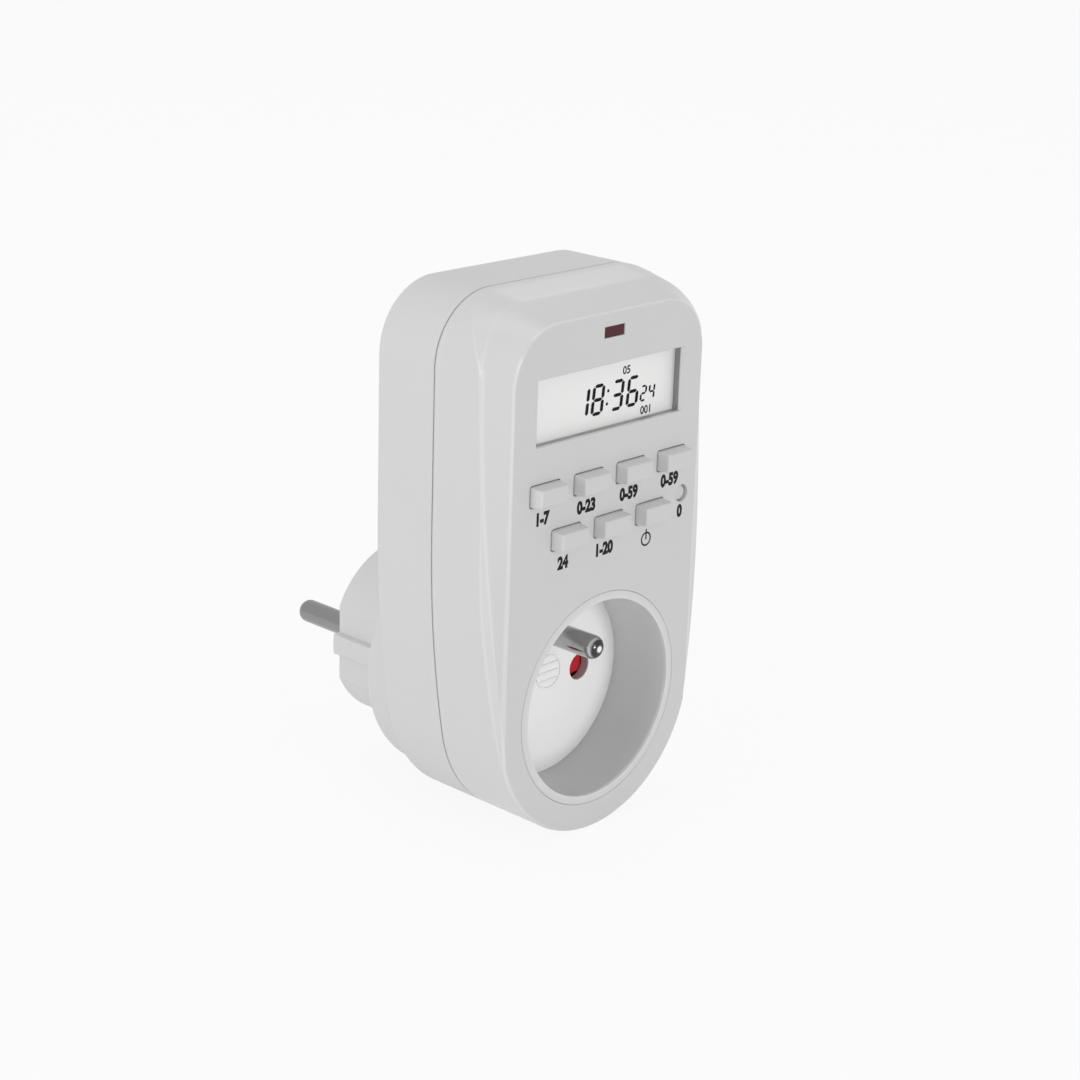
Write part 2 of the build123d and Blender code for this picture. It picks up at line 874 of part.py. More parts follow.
def earth_clip(side, name):
    """Flush earth contact on the side of the plug, with a leg that reaches the earth strap."""
    with BuildPart() as clip:
        with BuildSketch(Plane.YZ):
            with BuildLine():
                Polyline(
                    (at(clip_depth), side * clip_leg_end),
                    (at(clip_depth), side * (clip_seat + clip_strip)),
                    (at(plug_end_depth), side * (clip_seat + clip_strip)),
                    (at(plug_end_depth), side * clip_seat),
                    (at(clip_depth + strip), side * clip_seat),
                    (at(clip_depth + strip), side * clip_leg_end),
                    close=True,
                )
            make_face()
        extrude(amount=clip_half_width, both=True)
        outer = clip.edges().filter_by(Axis.Y).sort_by(Axis.Z)
        fillet(outer[-2:] if side > 0 else outer[:2], strip / 2)
    save(clip, name)


earth_clip(1, "earth_clip_top")
earth_clip(-1, "earth_clip_bottom")

# Sleeve that takes the earth pin of the wall socket
with BuildPart() as earth_sleeve:
    with BuildSketch(facing(plug_floor_depth)):
        with Locations((0, earth_height)):
            Circle(sleeve_outer_radius)
            Circle(pin_radius + sleeve_gap, mode=Mode.SUBTRACT)
    extrude(amount=plug_floor_depth - clip_depth)
save(earth_sleeve, "earth_sleeve")

# Earth strap: from the tail of the earth pin back to a crossbar over the sleeve and the clips
with BuildPart() as earth_strap:
    with BuildSketch(Plane.YZ):
        with BuildLine():
            Polyline(
                (at(block_back_depth + strip / 2), earth_height - strap_tab_half_height),
                (at(block_back_depth + strip / 2), earth_height + strap_tab_half_height),
            )
            Polyline(
                (at(block_back_depth + strip / 2), earth_height),
                (at(clip_depth - strip / 2), earth_height),
            )
            Polyline(
                (at(clip_depth - strip / 2), -strap_reach),
                (at(clip_depth - strip / 2), strap_reach),
            )
        trace(line_width=strip)
    extrude(amount=strap_half_width, both=True)
save(earth_strap, "earth_strap")

# Live conductor: from the left plug pin forward past the contact block to the power board
with BuildPart() as live_bus:
    with BuildSketch(Plane.YZ.offset(-live_bus_outer)):
        with BuildLine():
            Polyline(
                (at(tab_depth + strip / 2), -live_tab_half_height),
                (at(tab_depth + strip / 2), live_bus_rise),
                (at(live_bus_depth), live_bus_rise),
                (at(live_bus_depth), live_bus_pass),
                (at(bus_end_depth), live_bus_pass),
                (at(bus_end_depth), power_foot),
            )
        trace(line_width=strip)
    extrude(amount=live_bus_outer - live_bus_inner)
    with BuildSketch(facing(tab_depth)):
        with Locations((-(live_bus_outer + live_tab_inner) / 2, 0)):
            Rectangle(live_bus_outer - live_tab_inner, 2 * live_tab_half_height)
    extrude(amount=-strip)
    with BuildSketch(facing(tab_depth)):
        with Locations((-pin_x, 0)):
            Circle(pin_tail_radius)
    extrude(amount=-strip, mode=Mode.SUBTRACT)
save(live_bus, "live_bus")


def board_branch(outer_x, inner_x):
    """Strip from behind the contact block up and forward to the foot of the power board."""
    with BuildPart() as branch:
        with BuildSketch(Plane.YZ.offset(min(outer_x, inner_x))):
            with BuildLine():
                Polyline(
                    (at(branch_depth), -contact_height / 2),
                    (at(branch_depth), branch_pass),
                    (at(bus_end_depth), branch_pass),
                    (at(bus_end_depth), power_foot),
                )
            trace(line_width=strip)
        extrude(amount=abs(outer_x - inner_x))
    return branch.part


# Neutral conductor: joins the right plug pin, the right contact and the power board
with BuildPart() as neutral_bus:
    with BuildSketch():
        with BuildLine():
            Polyline(
                (neutral_tab_inner, at(tab_depth + strip / 2)),
                (neutral_bus_x, at(tab_depth + strip / 2)),
                (neutral_bus_x, at(branch_depth)),
                (branch_inner, at(branch_depth)),
            )
        trace(line_width=strip)
    extrude(amount=contact_height / 2, both=True)
    add(board_branch(branch_outer, branch_inner))
    with BuildSketch(facing(tab_depth)):
        with Locations((pin_x, 0)):
            Circle(pin_tail_radius)
    extrude(amount=-strip, mode=Mode.SUBTRACT)
save(neutral_bus, "neutral_bus")

# Load conductor: from the relay side of the power board to the left contact
with BuildPart() as load_bus:
    add(board_branch(-branch_outer, -branch_inner))
    with BuildSketch(facing(block_back_depth)):
        with Locations((-(pin_x + contact_half_width + branch_inner) / 2, 0)):
            Rectangle(pin_x + contact_half_width - branch_inner, contact_height)
    extrude(amount=-strip)
save(load_bus, "load_bus")

# Clear lens behind the window in the face
with BuildPart() as lcd_window:
    with BuildSketch(facing(face_wall)):
        with Locations((window_x, window_z)):
            Rectangle(window_width + 2 * lens_margin, window_height + 2 * lens_margin)
    extrude(amount=-lens_depth)
save(lcd_window, "lcd_window")

# Display glass behind the lens
panel_front_depth = face_wall + lens_depth
with BuildPart() as lcd_panel:
    with BuildSketch(facing(panel_front_depth)):
        with Locations((window_x, window_z)):
            Rectangle(panel_width, panel_height)
    extrude(amount=-panel_depth)
save(lcd_panel, "lcd_panel")

# Frame that holds the lens and the display glass between the face and the control board
with BuildPart() as lcd_frame:
    inner_width = panel_width + 2 * panel_gap
    inner_height = panel_height + 2 * panel_gap
    with BuildSketch(facing(face_wall)):
        with Locations((window_x, window_z)):
            Rectangle(inner_width + 2 * screen_frame_wall, inner_height + 2 * screen_frame_wall)
            Rectangle(inner_width, inner_height, mode=Mode.SUBTRACT)
        with Locations(housing_screw_places):
            Circle(post_radius + frame_post_gap, mode=Mode.SUBTRACT)
    extrude(amount=face_wall - control_depth)
save(lcd_frame, "lcd_frame")

# Two rubber strips that join the display glass to the control board
rubber_front_depth = panel_front_depth + panel_depth
with BuildPart() as elastomer_strips:
    with BuildSketch(facing(rubber_front_depth)):
        with Locations(
            (window_x, window_z - rubber_offset),
            (window_x, window_z + rubber_offset),
        ):
            Rectangle(panel_width - 2 * rubber_margin, rubber_width)
    extrude(amount=rubber_front_depth - control_depth)
save(elastomer_strips, "elastomer_strips")

# Dark window of the status light, with a flange behind the face
with BuildPart() as status_lens:
    with BuildSketch(facing(light_set_back)):
        with Locations((light_x, light_z)):
            Rectangle(light_width - 2 * light_gap, light_height - 2 * light_gap)
    extrude(amount=light_set_back - face_wall)
    with BuildSketch(facing(face_wall)):
        with Locations((light_x, light_z)):
            Rectangle(light_width + 2 * light_flange, light_height + light_flange)
    extrude(amount=-light_flange)
save(status_lens, "status_lens")

# Light behind its window, standing on the control board
with BuildPart() as status_led:
    with BuildSketch(facing(control_depth)):
        with Locations((light_x, light_z)):
            Circle(led_radius)
    extrude(amount=control_depth - led_depth)
    fillet(status_led.edges().sort_by(Axis.Y)[0], led_radius - 0.1)
    with BuildSketch(facing(control_depth)):
        with Locations((light_x, light_z)):
            Circle(led_radius + led_rim)
    extrude(amount=led_rim_height)
save(status_led, "status_led")

# Push buttons: a raised key with draft, and a flange behind the face that keeps it in
key_width = button_width - 2 * button_gap
key_height = button_height - 2 * button_gap
flange_depth = face_wall + button_flange_gap
for name, (centre_x, centre_z) in buttons.items():
    with BuildPart() as button:
        with BuildSketch(facing(flange_depth)):
            with Locations((centre_x, centre_z)):
                RectangleRounded(key_width, key_height, button_corner)
        extrude(amount=flange_depth)
        draft_angle = degrees(atan2(button_draft, button_rise))
        with BuildSketch(facing(0)):
            with Locations((centre_x, centre_z)):
                RectangleRounded(key_width, key_height, button_corner)
        extrude(amount=button_rise, taper=draft_angle)
        fillet(button.faces().sort_by(Axis.Y)[0].edges(), button_round)
        with BuildSketch(facing(flange_depth)):
            with Locations((centre_x, centre_z)):
                Rectangle(
                    key_width + 2 * button_flange_margin,
                    key_height + 2 * button_flange_margin,
                )
        extrude(amount=-button_flange)
    save(button, name)

# Reset button: a small round key set back in its hole
with BuildPart() as reset_button:
    with BuildSketch(facing(flange_depth)):
        with Locations(reset_centre):
            Circle(reset_hole_radius - reset_gap)
    extrude(amount=flange_depth - reset_set_back)
    chamfer(reset_button.edges().sort_by(Axis.Y)[0], reset_edge_cut)
    with BuildSketch(facing(flange_depth)):
        with Locations(reset_centre):
            Circle(reset_flange_radius)
    extrude(amount=-button_flange)
save(reset_button, "reset_button")

# Tactile switches on the control board, one behind each button
with BuildPart() as tact_switches:
    with BuildSketch(facing(control_depth)):
        with Locations([*button_centres, reset_centre]):
            Rectangle(switch_size, switch_size)
    extrude(amount=switch_body)
    with BuildSketch(facing(control_depth - switch_body)):
        with Locations([*button_centres, reset_centre]):
            Circle(switch_plunger_radius)
    extrude(amount=switch_plunger)
save(tact_switches, "tact_switches")


def board_blank(board_half_width, foot, top, post):
    """Outline of a board, notched round the housing posts."""
    with BuildSketch() as blank:
        with Locations((0, (foot + top) / 2)):
            Rectangle(2 * board_half_width, top - foot)
        chamfer(blank.vertices().group_by(Axis.Y)[-1], board_corner)
        with Locations(housing_screw_places):
            Circle(post + board_gap, mode=Mode.SUBTRACT)
    return blank.sketch


# Control board: behind the screen and the buttons
with BuildPart() as control_board:
    with BuildSketch(facing(control_depth)):
        add(board_blank(control_half_width, control_foot, control_top, post_radius))
        with Locations(control_screw_places):
            Circle(small_screw_radius + small_screw_gap, mode=Mode.SUBTRACT)
        with Locations((0, header_z)):
            with GridLocations(header_spacing, 0, header_pins, 1):
                Rectangle(header_pin, header_pin, mode=Mode.SUBTRACT)
    extrude(amount=-board)
save(control_board, "control_board")

with BuildPart() as controller_chip:
    with BuildSketch(facing(board_back_depth)):
        with Locations(chip_place):
            Rectangle(chip_size, chip_size)
    extrude(amount=-chip_height)
    chamfer(controller_chip.faces().sort_by(Axis.Y)[-1].edges(), chip_edge_cut)
save(controller_chip, "controller_chip")

with BuildPart() as backup_battery:
    with BuildSketch(facing(board_back_depth)):
        with Locations(battery_place):
            Circle(battery_radius)
    extrude(amount=-battery_height)
    chamfer(backup_battery.edges().sort_by(Axis.Y)[-1], can_edge_cut)
save(backup_battery, "backup_battery")

with BuildPart() as crystal:
    with BuildSketch(facing(board_back_depth)):
        with Locations(crystal_place):
            SlotOverall(crystal_length, crystal_width)
    extrude(amount=-crystal_height)
save(crystal, "crystal")

# Power board: across the back of the housing, on two pads
with BuildPart() as power_board:
    with BuildSketch(facing(power_depth)):
        add(board_blank(power_half_width, power_foot, power_top, post_radius + post_wall))
        with Locations(power_screw_places):
            Circle(small_screw_radius + small_screw_gap, mode=Mode.SUBTRACT)
    extrude(amount=-board)
save(power_board, "power_board")

with BuildPart() as relay:
    with BuildSketch(facing(power_depth)):
        with Locations(relay_place):
            Rectangle(relay_width, relay_length)
    extrude(amount=relay_height)
    chamfer(relay.faces().sort_by(Axis.Y)[0].edges(), can_edge_cut)
save(relay, "relay")

with BuildPart() as dropper_capacitor:
    with BuildSketch(facing(power_depth)):
        with Locations(dropper_place):
            Rectangle(dropper_width, dropper_length)
    extrude(amount=dropper_height)
    chamfer(dropper_capacitor.faces().sort_by(Axis.Y)[0].edges(), chip_edge_cut)
save(dropper_capacitor, "dropper_capacitor")

with BuildPart() as smoothing_capacitor:
    with BuildSketch(facing(power_depth)):
        with Locations(smoothing_place):
            Circle(smoothing_radius)
    extrude(amount=smoothing_height)
    chamfer(smoothing_capacitor.edges().sort_by(Axis.Y)[0], can_edge_cut)
save(smoothing_capacitor, "smoothing_capacitor")

with BuildPart() as fuse:
    with BuildSketch(facing(power_depth)):
        with Locations(fuse_place):
            Circle(fuse_radius)
    extrude(amount=fuse_height)
    chamfer(fuse.edges().sort_by(Axis.Y)[0], can_edge_cut)
save(fuse, "fuse")

# Varistor: a disc that stands on edge
with BuildPart() as varistor:
    with BuildSketch(Plane.YZ.offset(varistor_place[0])):
        with Locations((at(power_depth - varistor_radius), varistor_place[1])):
            Circle(varistor_radius)
        with Locations((at(power_depth - varistor_radius / 2), varistor_place[1])):
            Rectangle(varistor_radius, varistor_radius)
    extrude(amount=varistor_thickness / 2, both=True)
save(varistor, "varistor")

with BuildPart() as diode_bridge:
    with BuildSketch(facing(power_depth)):
        with Locations(bridge_place):
            Rectangle(bridge_size, bridge_size)
    extrude(amount=bridge_height)
    chamfer(diode_bridge.faces().sort_by(Axis.Y)[0].edges(), chip_edge_cut)
save(diode_bridge, "diode_bridge")

# Header: pins from the power board through the control board, set in a block
with BuildPart() as board_header:
    with BuildSketch(facing(power_depth)):
        with Locations((0, header_z)):
            Rectangle(header_pins * header_spacing, header_width)
    extrude(amount=header_block)
    with BuildSketch(facing(power_depth)):
        with Locations((0, header_z)):
            with GridLocations(header_spacing, 0, header_pins, 1):
                Rectangle(header_pin, header_pin)
    extrude(amount=power_depth - control_depth)
save(board_header, "board_header")


def screw_set(places, seat_depth, end_depth, shank, head_radius, head, name):
    """Screws driven from the back: round heads with a cross recess on the seat, then shanks."""
    with BuildPart() as screws:
        with BuildSketch(facing(seat_depth)):
            with Locations(places):
                Circle(head_radius)
        extrude(amount=-head)
        with BuildSketch(facing(seat_depth)):
            with Locations(places):
                Circle(shank)
        extrude(amount=seat_depth - end_depth)
        with BuildSketch(facing(seat_depth + head)):
            with Locations(places):
                Rectangle(drive_share * head_radius, drive_width)
                Rectangle(drive_width, drive_share * head_radius)
        extrude(amount=drive_depth, mode=Mode.SUBTRACT)
    save(screws, name)


screw_set(
    housing_screw_places,
    screw_ledge_depth,
    screw_end_depth,
    screw_radius,
    screw_head_radius,
    screw_head,
    "housing_screws",
)
screw_set(
    control_screw_places,
    board_back_depth,
    control_depth - small_screw_reach,
    small_screw_radius,
    small_head_radius,
    small_head,
    "control_board_screws",
)
screw_set(
    block_screw_places,
    block_ledge_depth,
    floor_back_depth,
    small_screw_radius,
    small_head_radius,
    small_head,
    "block_screws",
)

# Screws of the power board, driven from the front into the pads on the back wall
with BuildPart() as power_board_screws:
    with BuildSketch(facing(power_depth)):
        with Locations(power_screw_places):
            Circle(small_head_radius)
    extrude(amount=small_head)
    with BuildSketch(facing(power_depth)):
        with Locations(power_screw_places):
            Circle(small_screw_radius)
    extrude(amount=-board - power_screw_bite)
    with BuildSketch(facing(power_depth - small_head)):
        with Locations(power_screw_places):
            Rectangle(drive_share * small_head_radius, drive_width)
            Rectangle(drive_width, drive_share * small_head_radius)
    extrude(amount=-drive_depth, mode=Mode.SUBTRACT)
save(power_board_screws, "power_board_screws")
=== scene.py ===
# Dresses the digital plug-in timer: materials, the display's digits, the print and the stage.
from math import radians, tan

import bmesh
import bpy
from mathutils import Matrix, Vector


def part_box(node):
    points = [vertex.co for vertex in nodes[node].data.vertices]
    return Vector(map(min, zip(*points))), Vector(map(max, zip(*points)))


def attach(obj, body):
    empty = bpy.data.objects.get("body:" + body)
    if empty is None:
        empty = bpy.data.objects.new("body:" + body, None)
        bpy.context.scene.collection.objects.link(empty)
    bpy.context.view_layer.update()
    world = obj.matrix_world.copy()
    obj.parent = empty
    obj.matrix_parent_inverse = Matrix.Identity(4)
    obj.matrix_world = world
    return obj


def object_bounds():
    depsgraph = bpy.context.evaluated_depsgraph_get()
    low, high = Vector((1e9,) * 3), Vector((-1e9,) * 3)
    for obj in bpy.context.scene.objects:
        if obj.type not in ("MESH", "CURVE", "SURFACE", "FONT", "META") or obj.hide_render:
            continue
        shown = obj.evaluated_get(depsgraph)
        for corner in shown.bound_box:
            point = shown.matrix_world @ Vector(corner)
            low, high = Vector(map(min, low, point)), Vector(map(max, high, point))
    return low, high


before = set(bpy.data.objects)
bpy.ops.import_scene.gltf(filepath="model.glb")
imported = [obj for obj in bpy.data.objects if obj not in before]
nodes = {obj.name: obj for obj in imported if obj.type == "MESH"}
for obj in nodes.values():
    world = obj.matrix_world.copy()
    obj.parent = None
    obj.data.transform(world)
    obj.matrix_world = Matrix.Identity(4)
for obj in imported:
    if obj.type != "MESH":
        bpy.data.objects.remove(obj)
cad_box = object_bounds()

bl_info = {
    "name": "Plug-in timer dressing",
    "version": (1, 0, 0),
    "blender": (4, 5, 0),
    "location": "3D View > Sidebar > Timer",
    "description": "Finishes, display digits, face print and stage for a digital plug-in timer",
    "category": "Object",
}

MM = 0.001
HOUSING = "housing"
BUTTONS = [
    "week_button",
    "hour_button",
    "minute_button",
    "second_button",
    "clock_button",
    "program_button",
    "manual_button",
]

# The face of the housing is the plane that the print lies on
FACE_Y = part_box("front_shell")[0].y
PANEL_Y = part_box("lcd_panel")[0].y

# Width of the slow changes of tone in a finish
CLOUD = 18 * MM
# Rays that look for an edge to ease
EDGE_RAYS = 8

# Thickness of a segment or of printed ink, and of the bar that crosses the printed ring
FILM = 0.01 * MM
BAR_FILM = 1.2 * FILM

# Depths at which the eased edges of the front moulding start to widen, and are widest
RIDGE_START_Y = FACE_Y + 0.6 * MM
RIDGE_FULL_Y = FACE_Y + 1.8 * MM
# Agreement of the eased normal with the true one where an edge's painted highlight begins, and
# where it is full
EDGE_BEGINS = 0.995
EDGE_FULL = 0.966
# Depths at which the painted highlight on the rounded edge of the face starts, is full, fades and
# ends
RIM_START_Y = FACE_Y + 0.01 * MM
RIM_FULL_Y = FACE_Y + 0.06 * MM
RIM_FADES_Y = FACE_Y + 0.25 * MM
RIM_END_Y = FACE_Y + 0.5 * MM
# Share of the ridge's painted highlight that the edge of the face gets
RIM_SHARE = 0.7
# Past this distance from the middle line, or above this height, there are no openings
OUTLINE_REACH = 24.2 * MM
OUTLINE_TOP = 74.5 * MM

# The opening's walls start this far behind the face, inside the edge of the window
REVEAL_LIP = 0.75 * MM
REVEAL_EDGE = 0.9 * MM
REVEAL_MARGIN = 0.1 * MM
# Brightness that the painted shade leaves on the walls of the screen's opening, and the share of
# the block where that holds
REVEAL_SHADE_LEVEL = 0.38
REVEAL_CORE = 0.98

# Depth and radius of the socket's well
WELL_DEPTH = 14.0 * MM
WELL_RADIUS = 19.9 * MM
WELL_FLOOR_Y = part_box("socket_cup")[0].y + WELL_DEPTH
# Depth at which the rounded mouth of the well turns into its wall
WELL_MOUTH_Y = WELL_FLOOR_Y - 13.6 * MM
# Depth past which a contact hole gets painted shade
HOLE_START_Y = WELL_FLOOR_Y + 0.1 * MM
# Lengths over which the painted shade of the wall comes in, and that of its mouth and the holes
WALL_BLEND = 0.1 * MM
DEPTH_BLEND = 0.4 * MM
# Heights between which painted shade darkens the wall of the well downwards, and by how much
WALL_LIGHT_Z = 16 * MM
WALL_DARK_Z = -14 * MM
WALL_PAINTED_SHADE = 0.24
# Brightness that the painted shade leaves in the contact holes
HOLE_SHADE_LEVEL = 0.6

# Brightness of the earth pin's tip, by share of its radius, and of its shaft: the tip carries a
# painted reflection, a bright middle inside a dark ring
EARTH_PIN_RADIUS = 2.4 * MM
TIP_PAINTED_REFLECTION = ((0.2, 1.0), (0.34, 0.07), (0.72, 0.07), (0.86, 0.6), (1.0, 0.5))
SHAFT_LIGHT = 0.5
# Depths behind its end between which the tip turns into the shaft
TIP_START = 1.2 * MM
TIP_END = 2.2 * MM


def linear(code):
    """Linear colour with alpha from an sRGB hex value such as #d8d8d6."""
    channels = [int(code[i : i + 2], 16) / 255 for i in (1, 3, 5)]
    lin = [c / 12.92 if c <= 0.04045 else ((c + 0.055) / 1.055) ** 2.4 for c in channels]
    return (*lin, 1.0)


def add_node(tree, kind, settings=None, links=None):
    """Adds a node, sets its attributes or its sockets by name, and links its inputs."""
    node = tree.nodes.new(kind)
    for name, value in (settings or {}).items():
        if isinstance(name, int) or name in node.inputs:
            node.inputs[name].default_value = value
        else:
            setattr(node, name, value)
    for name, source in (links or {}).items():
        tree.links.new(source, node.inputs[name])
    return node


def new_material(name):
    """An empty node material and its tree."""
    material = bpy.data.materials.new(name)
    material.use_nodes = True
    material.node_tree.nodes.clear()
    return material, material.node_tree


def surface(
    name,
    code,
    roughness,
    metallic=0.0,
    ior=1.5,
    grain_mm=0.3,
    grain_depth_mm=0.004,
    tint=0.03,
    rough_spread=0.05,
    stretch=(1.0, 1.0, 1.0),
    edge_mm=0.0,
    ridge_mm=0.0,
    painted_ridge_highlight=0.0,
    painted_shading=None,
    glow=0.0,
    alpha=1.0,
):
    """A finish with a fine surface grain, slow changes of tone, and edges that look eased; it can
    also carry a painted highlight on ridges, painted shading and a painted glow.
    """
    material, tree = new_material(name)
    place = add_node(tree, "ShaderNodeTexCoord")
    turned = add_node(
        tree,
        "ShaderNodeMapping",
        {"Scale": stretch},
        {"Vector": place.outputs["Object"]},
    )
    grain = add_node(
        tree,
        "ShaderNodeTexNoise",
        {"Scale": 1.0 / (grain_mm * MM), "Detail": 3.0, "Roughness": 0.6},
        {"Vector": turned.outputs["Vector"]},
    )
    cloud = add_node(
        tree,
        "ShaderNodeTexNoise",
        {"Scale": 1.0 / CLOUD, "Detail": 2.0},
        {"Vector": place.outputs["Object"]},
    )
    tone = add_node(
        tree,
        "ShaderNodeMapRange",
        {"To Min": 1.0 - tint, "To Max": 1.0 + tint},
        {"Value": cloud.outputs["Fac"]},
    )
    rough = add_node(
        tree,
        "ShaderNodeMapRange",
        {"To Min": roughness - rough_spread, "To Max": roughness + rough_spread},
        {"Value": grain.outputs["Fac"]},
    )
    bump = add_node(
        tree,
        "ShaderNodeBump",
        {"Distance": grain_depth_mm * MM, "Strength": 1.0},
        {"Height": grain.outputs["Fac"]},
    )
    value = tone.outputs["Result"]
    if edge_mm:
        eased = add_node(
            tree, "ShaderNodeBevel", {"samples": EDGE_RAYS, "Radius": edge_mm * MM}
        )
        if ridge_mm:
            value = soften_ridge_and_paint_highlight(tree, place, eased, value, edge_mm, ridge_mm, painted_ridge_highlight)
        tree.links.new(eased.outputs["Normal"], bump.inputs["Normal"])
    if painted_shading:
        value = painted_shading(tree, place, value)
    colour = add_node(
        tree, "ShaderNodeHueSaturation", {"Color": linear(code)}, {"Value": value}
    )
    shader = add_node(
        tree,
        "ShaderNodeBsdfPrincipled",
        {"Metallic": metallic, "IOR": ior, "Emission Strength": glow, "Alpha": alpha},
        {
            "Base Color": colour.outputs["Color"],
            "Roughness": rough.outputs["Result"],
            "Normal": bump.outputs["Normal"],
        },
    )
    add_node(
        tree, "ShaderNodeOutputMaterial", {}, {"Surface": shader.outputs["BSDF"]}
    )
    return material


def soften_ridge_and_paint_highlight(tree, place, eased, value, edge_mm, ridge_mm, painted_ridge_highlight):
    """Widens the eased edges behind the face, and paints a highlight on the outer edges."""
    parts = add_node(tree, "ShaderNodeSeparateXYZ", {}, {"Vector": place.outputs["Object"]})
    radius = add_node(
        tree,
        "ShaderNodeMapRange",
        {
            "From Min": RIDGE_START_Y,
            "From Max": RIDGE_FULL_Y,
            "To Min": edge_mm * MM,
            "To Max": ridge_mm * MM,
        },
        {"Value": parts.outputs["Y"]},
    )
    tree.links.new(radius.outputs["Result"], eased.inputs["Radius"])
    # How far the eased normal leaves the true one tells where an edge is
    true = add_node(tree, "ShaderNodeNewGeometry")
    match = add_node(
        tree,
        "ShaderNodeVectorMath",
        {"operation": "DOT_PRODUCT"},
        {0: eased.outputs["Normal"], 1: true.outputs["Normal"]},
    )
    edge = add_node(
        tree,
        "ShaderNodeMapRange",
        {"From Min": EDGE_BEGINS, "From Max": EDGE_FULL, "To Max": painted_ridge_highlight},
        {"Value": match.outputs["Value"]},
    )
    # The rounded edge of the face gets a painted line of highlight too
    rise = add_node(
        tree,
        "ShaderNodeMapRange",
        {"From Min": RIM_START_Y, "From Max": RIM_FULL_Y},
        {"Value": parts.outputs["Y"]},
    )
    fall = add_node(
        tree,
        "ShaderNodeMapRange",
        {"From Min": RIM_END_Y, "From Max": RIM_FADES_Y, "To Max": RIM_SHARE * painted_ridge_highlight},
        {"Value": parts.outputs["Y"]},
    )
    rim = add_node(
        tree,
        "ShaderNodeMath",
        {"operation": "MULTIPLY"},
        {0: rise.outputs["Result"], 1: fall.outputs["Result"]},
    )
    line = add_node(
        tree,
        "ShaderNodeMath",
        {"operation": "MAXIMUM"},
        {0: edge.outputs["Result"], 1: rim.outputs[0]},
    )
    # Only the outline gets the painted highlight, not the openings in the face: past the sides or
    # round the foot
    below = add_node(
        tree, "ShaderNodeMath", {"operation": "MINIMUM", 1: 0.0}, {0: parts.outputs["Z"]}
    )
    flat = add_node(
        tree, "ShaderNodeCombineXYZ", {}, {"X": parts.outputs["X"], "Z": below.outputs[0]}
    )
    reach = add_node(
        tree, "ShaderNodeVectorMath", {"operation": "LENGTH"}, {0: flat.outputs["Vector"]}
    )
    sides = add_node(
        tree,
        "ShaderNodeMath",
        {"operation": "GREATER_THAN", 1: OUTLINE_REACH},
        {0: reach.outputs["Value"]},
    )
    top = add_node(
        tree,
        "ShaderNodeMath",
        {"operation": "GREATER_THAN", 1: OUTLINE_TOP},
        {0: parts.outputs["Z"]},
    )
    outer = add_node(
        tree, "ShaderNodeMath", {"operation": "MAXIMUM"}, {0: sides.outputs[0], 1: top.outputs[0]}
    )
    # Painted highlight: the outer edges are made paler than the plastic's colour
    painted_highlight = add_node(
        tree,
        "ShaderNodeMath",
        {"operation": "MULTIPLY"},
        {0: outer.outputs[0], 1: line.outputs[0]},
    )
    return add_node(
        tree, "ShaderNodeMath", {"operation": "ADD"}, {0: value, 1: painted_highlight.outputs[0]}
    ).outputs[0]


def paint_reveal_shade(tree, place, value):
    """Paints shade on the walls of the screen's opening, between its lip and the clear window."""
    middle, half = screen_opening()
    moved = add_node(
        tree,
        "ShaderNodeVectorMath",
        {"operation": "SUBTRACT", 1: middle},
        {0: place.outputs["Object"]},
    )
    shares = add_node(
        tree, "ShaderNodeVectorMath", {"operation": "DIVIDE", 1: half}, {0: moved.outputs[0]}
    )
    size = add_node(
        tree, "ShaderNodeVectorMath", {"operation": "ABSOLUTE"}, {0: shares.outputs[0]}
    )
    parts = add_node(tree, "ShaderNodeSeparateXYZ", {}, {"Vector": size.outputs[0]})
    most = parts.outputs["X"]
    for axis in ("Y", "Z"):
        most = add_node(
            tree, "ShaderNodeMath", {"operation": "MAXIMUM"}, {0: most, 1: parts.outputs[axis]}
        ).outputs[0]
    painted_shading = add_node(
        tree,
        "ShaderNodeMapRange",
        {"From Min": REVEAL_CORE, "To Min": REVEAL_SHADE_LEVEL},
        {"Value": most},
    )
    return add_node(
        tree, "ShaderNodeMath", {"operation": "MULTIPLY"}, {0: value, 1: painted_shading.outputs["Result"]}
    ).outputs[0]


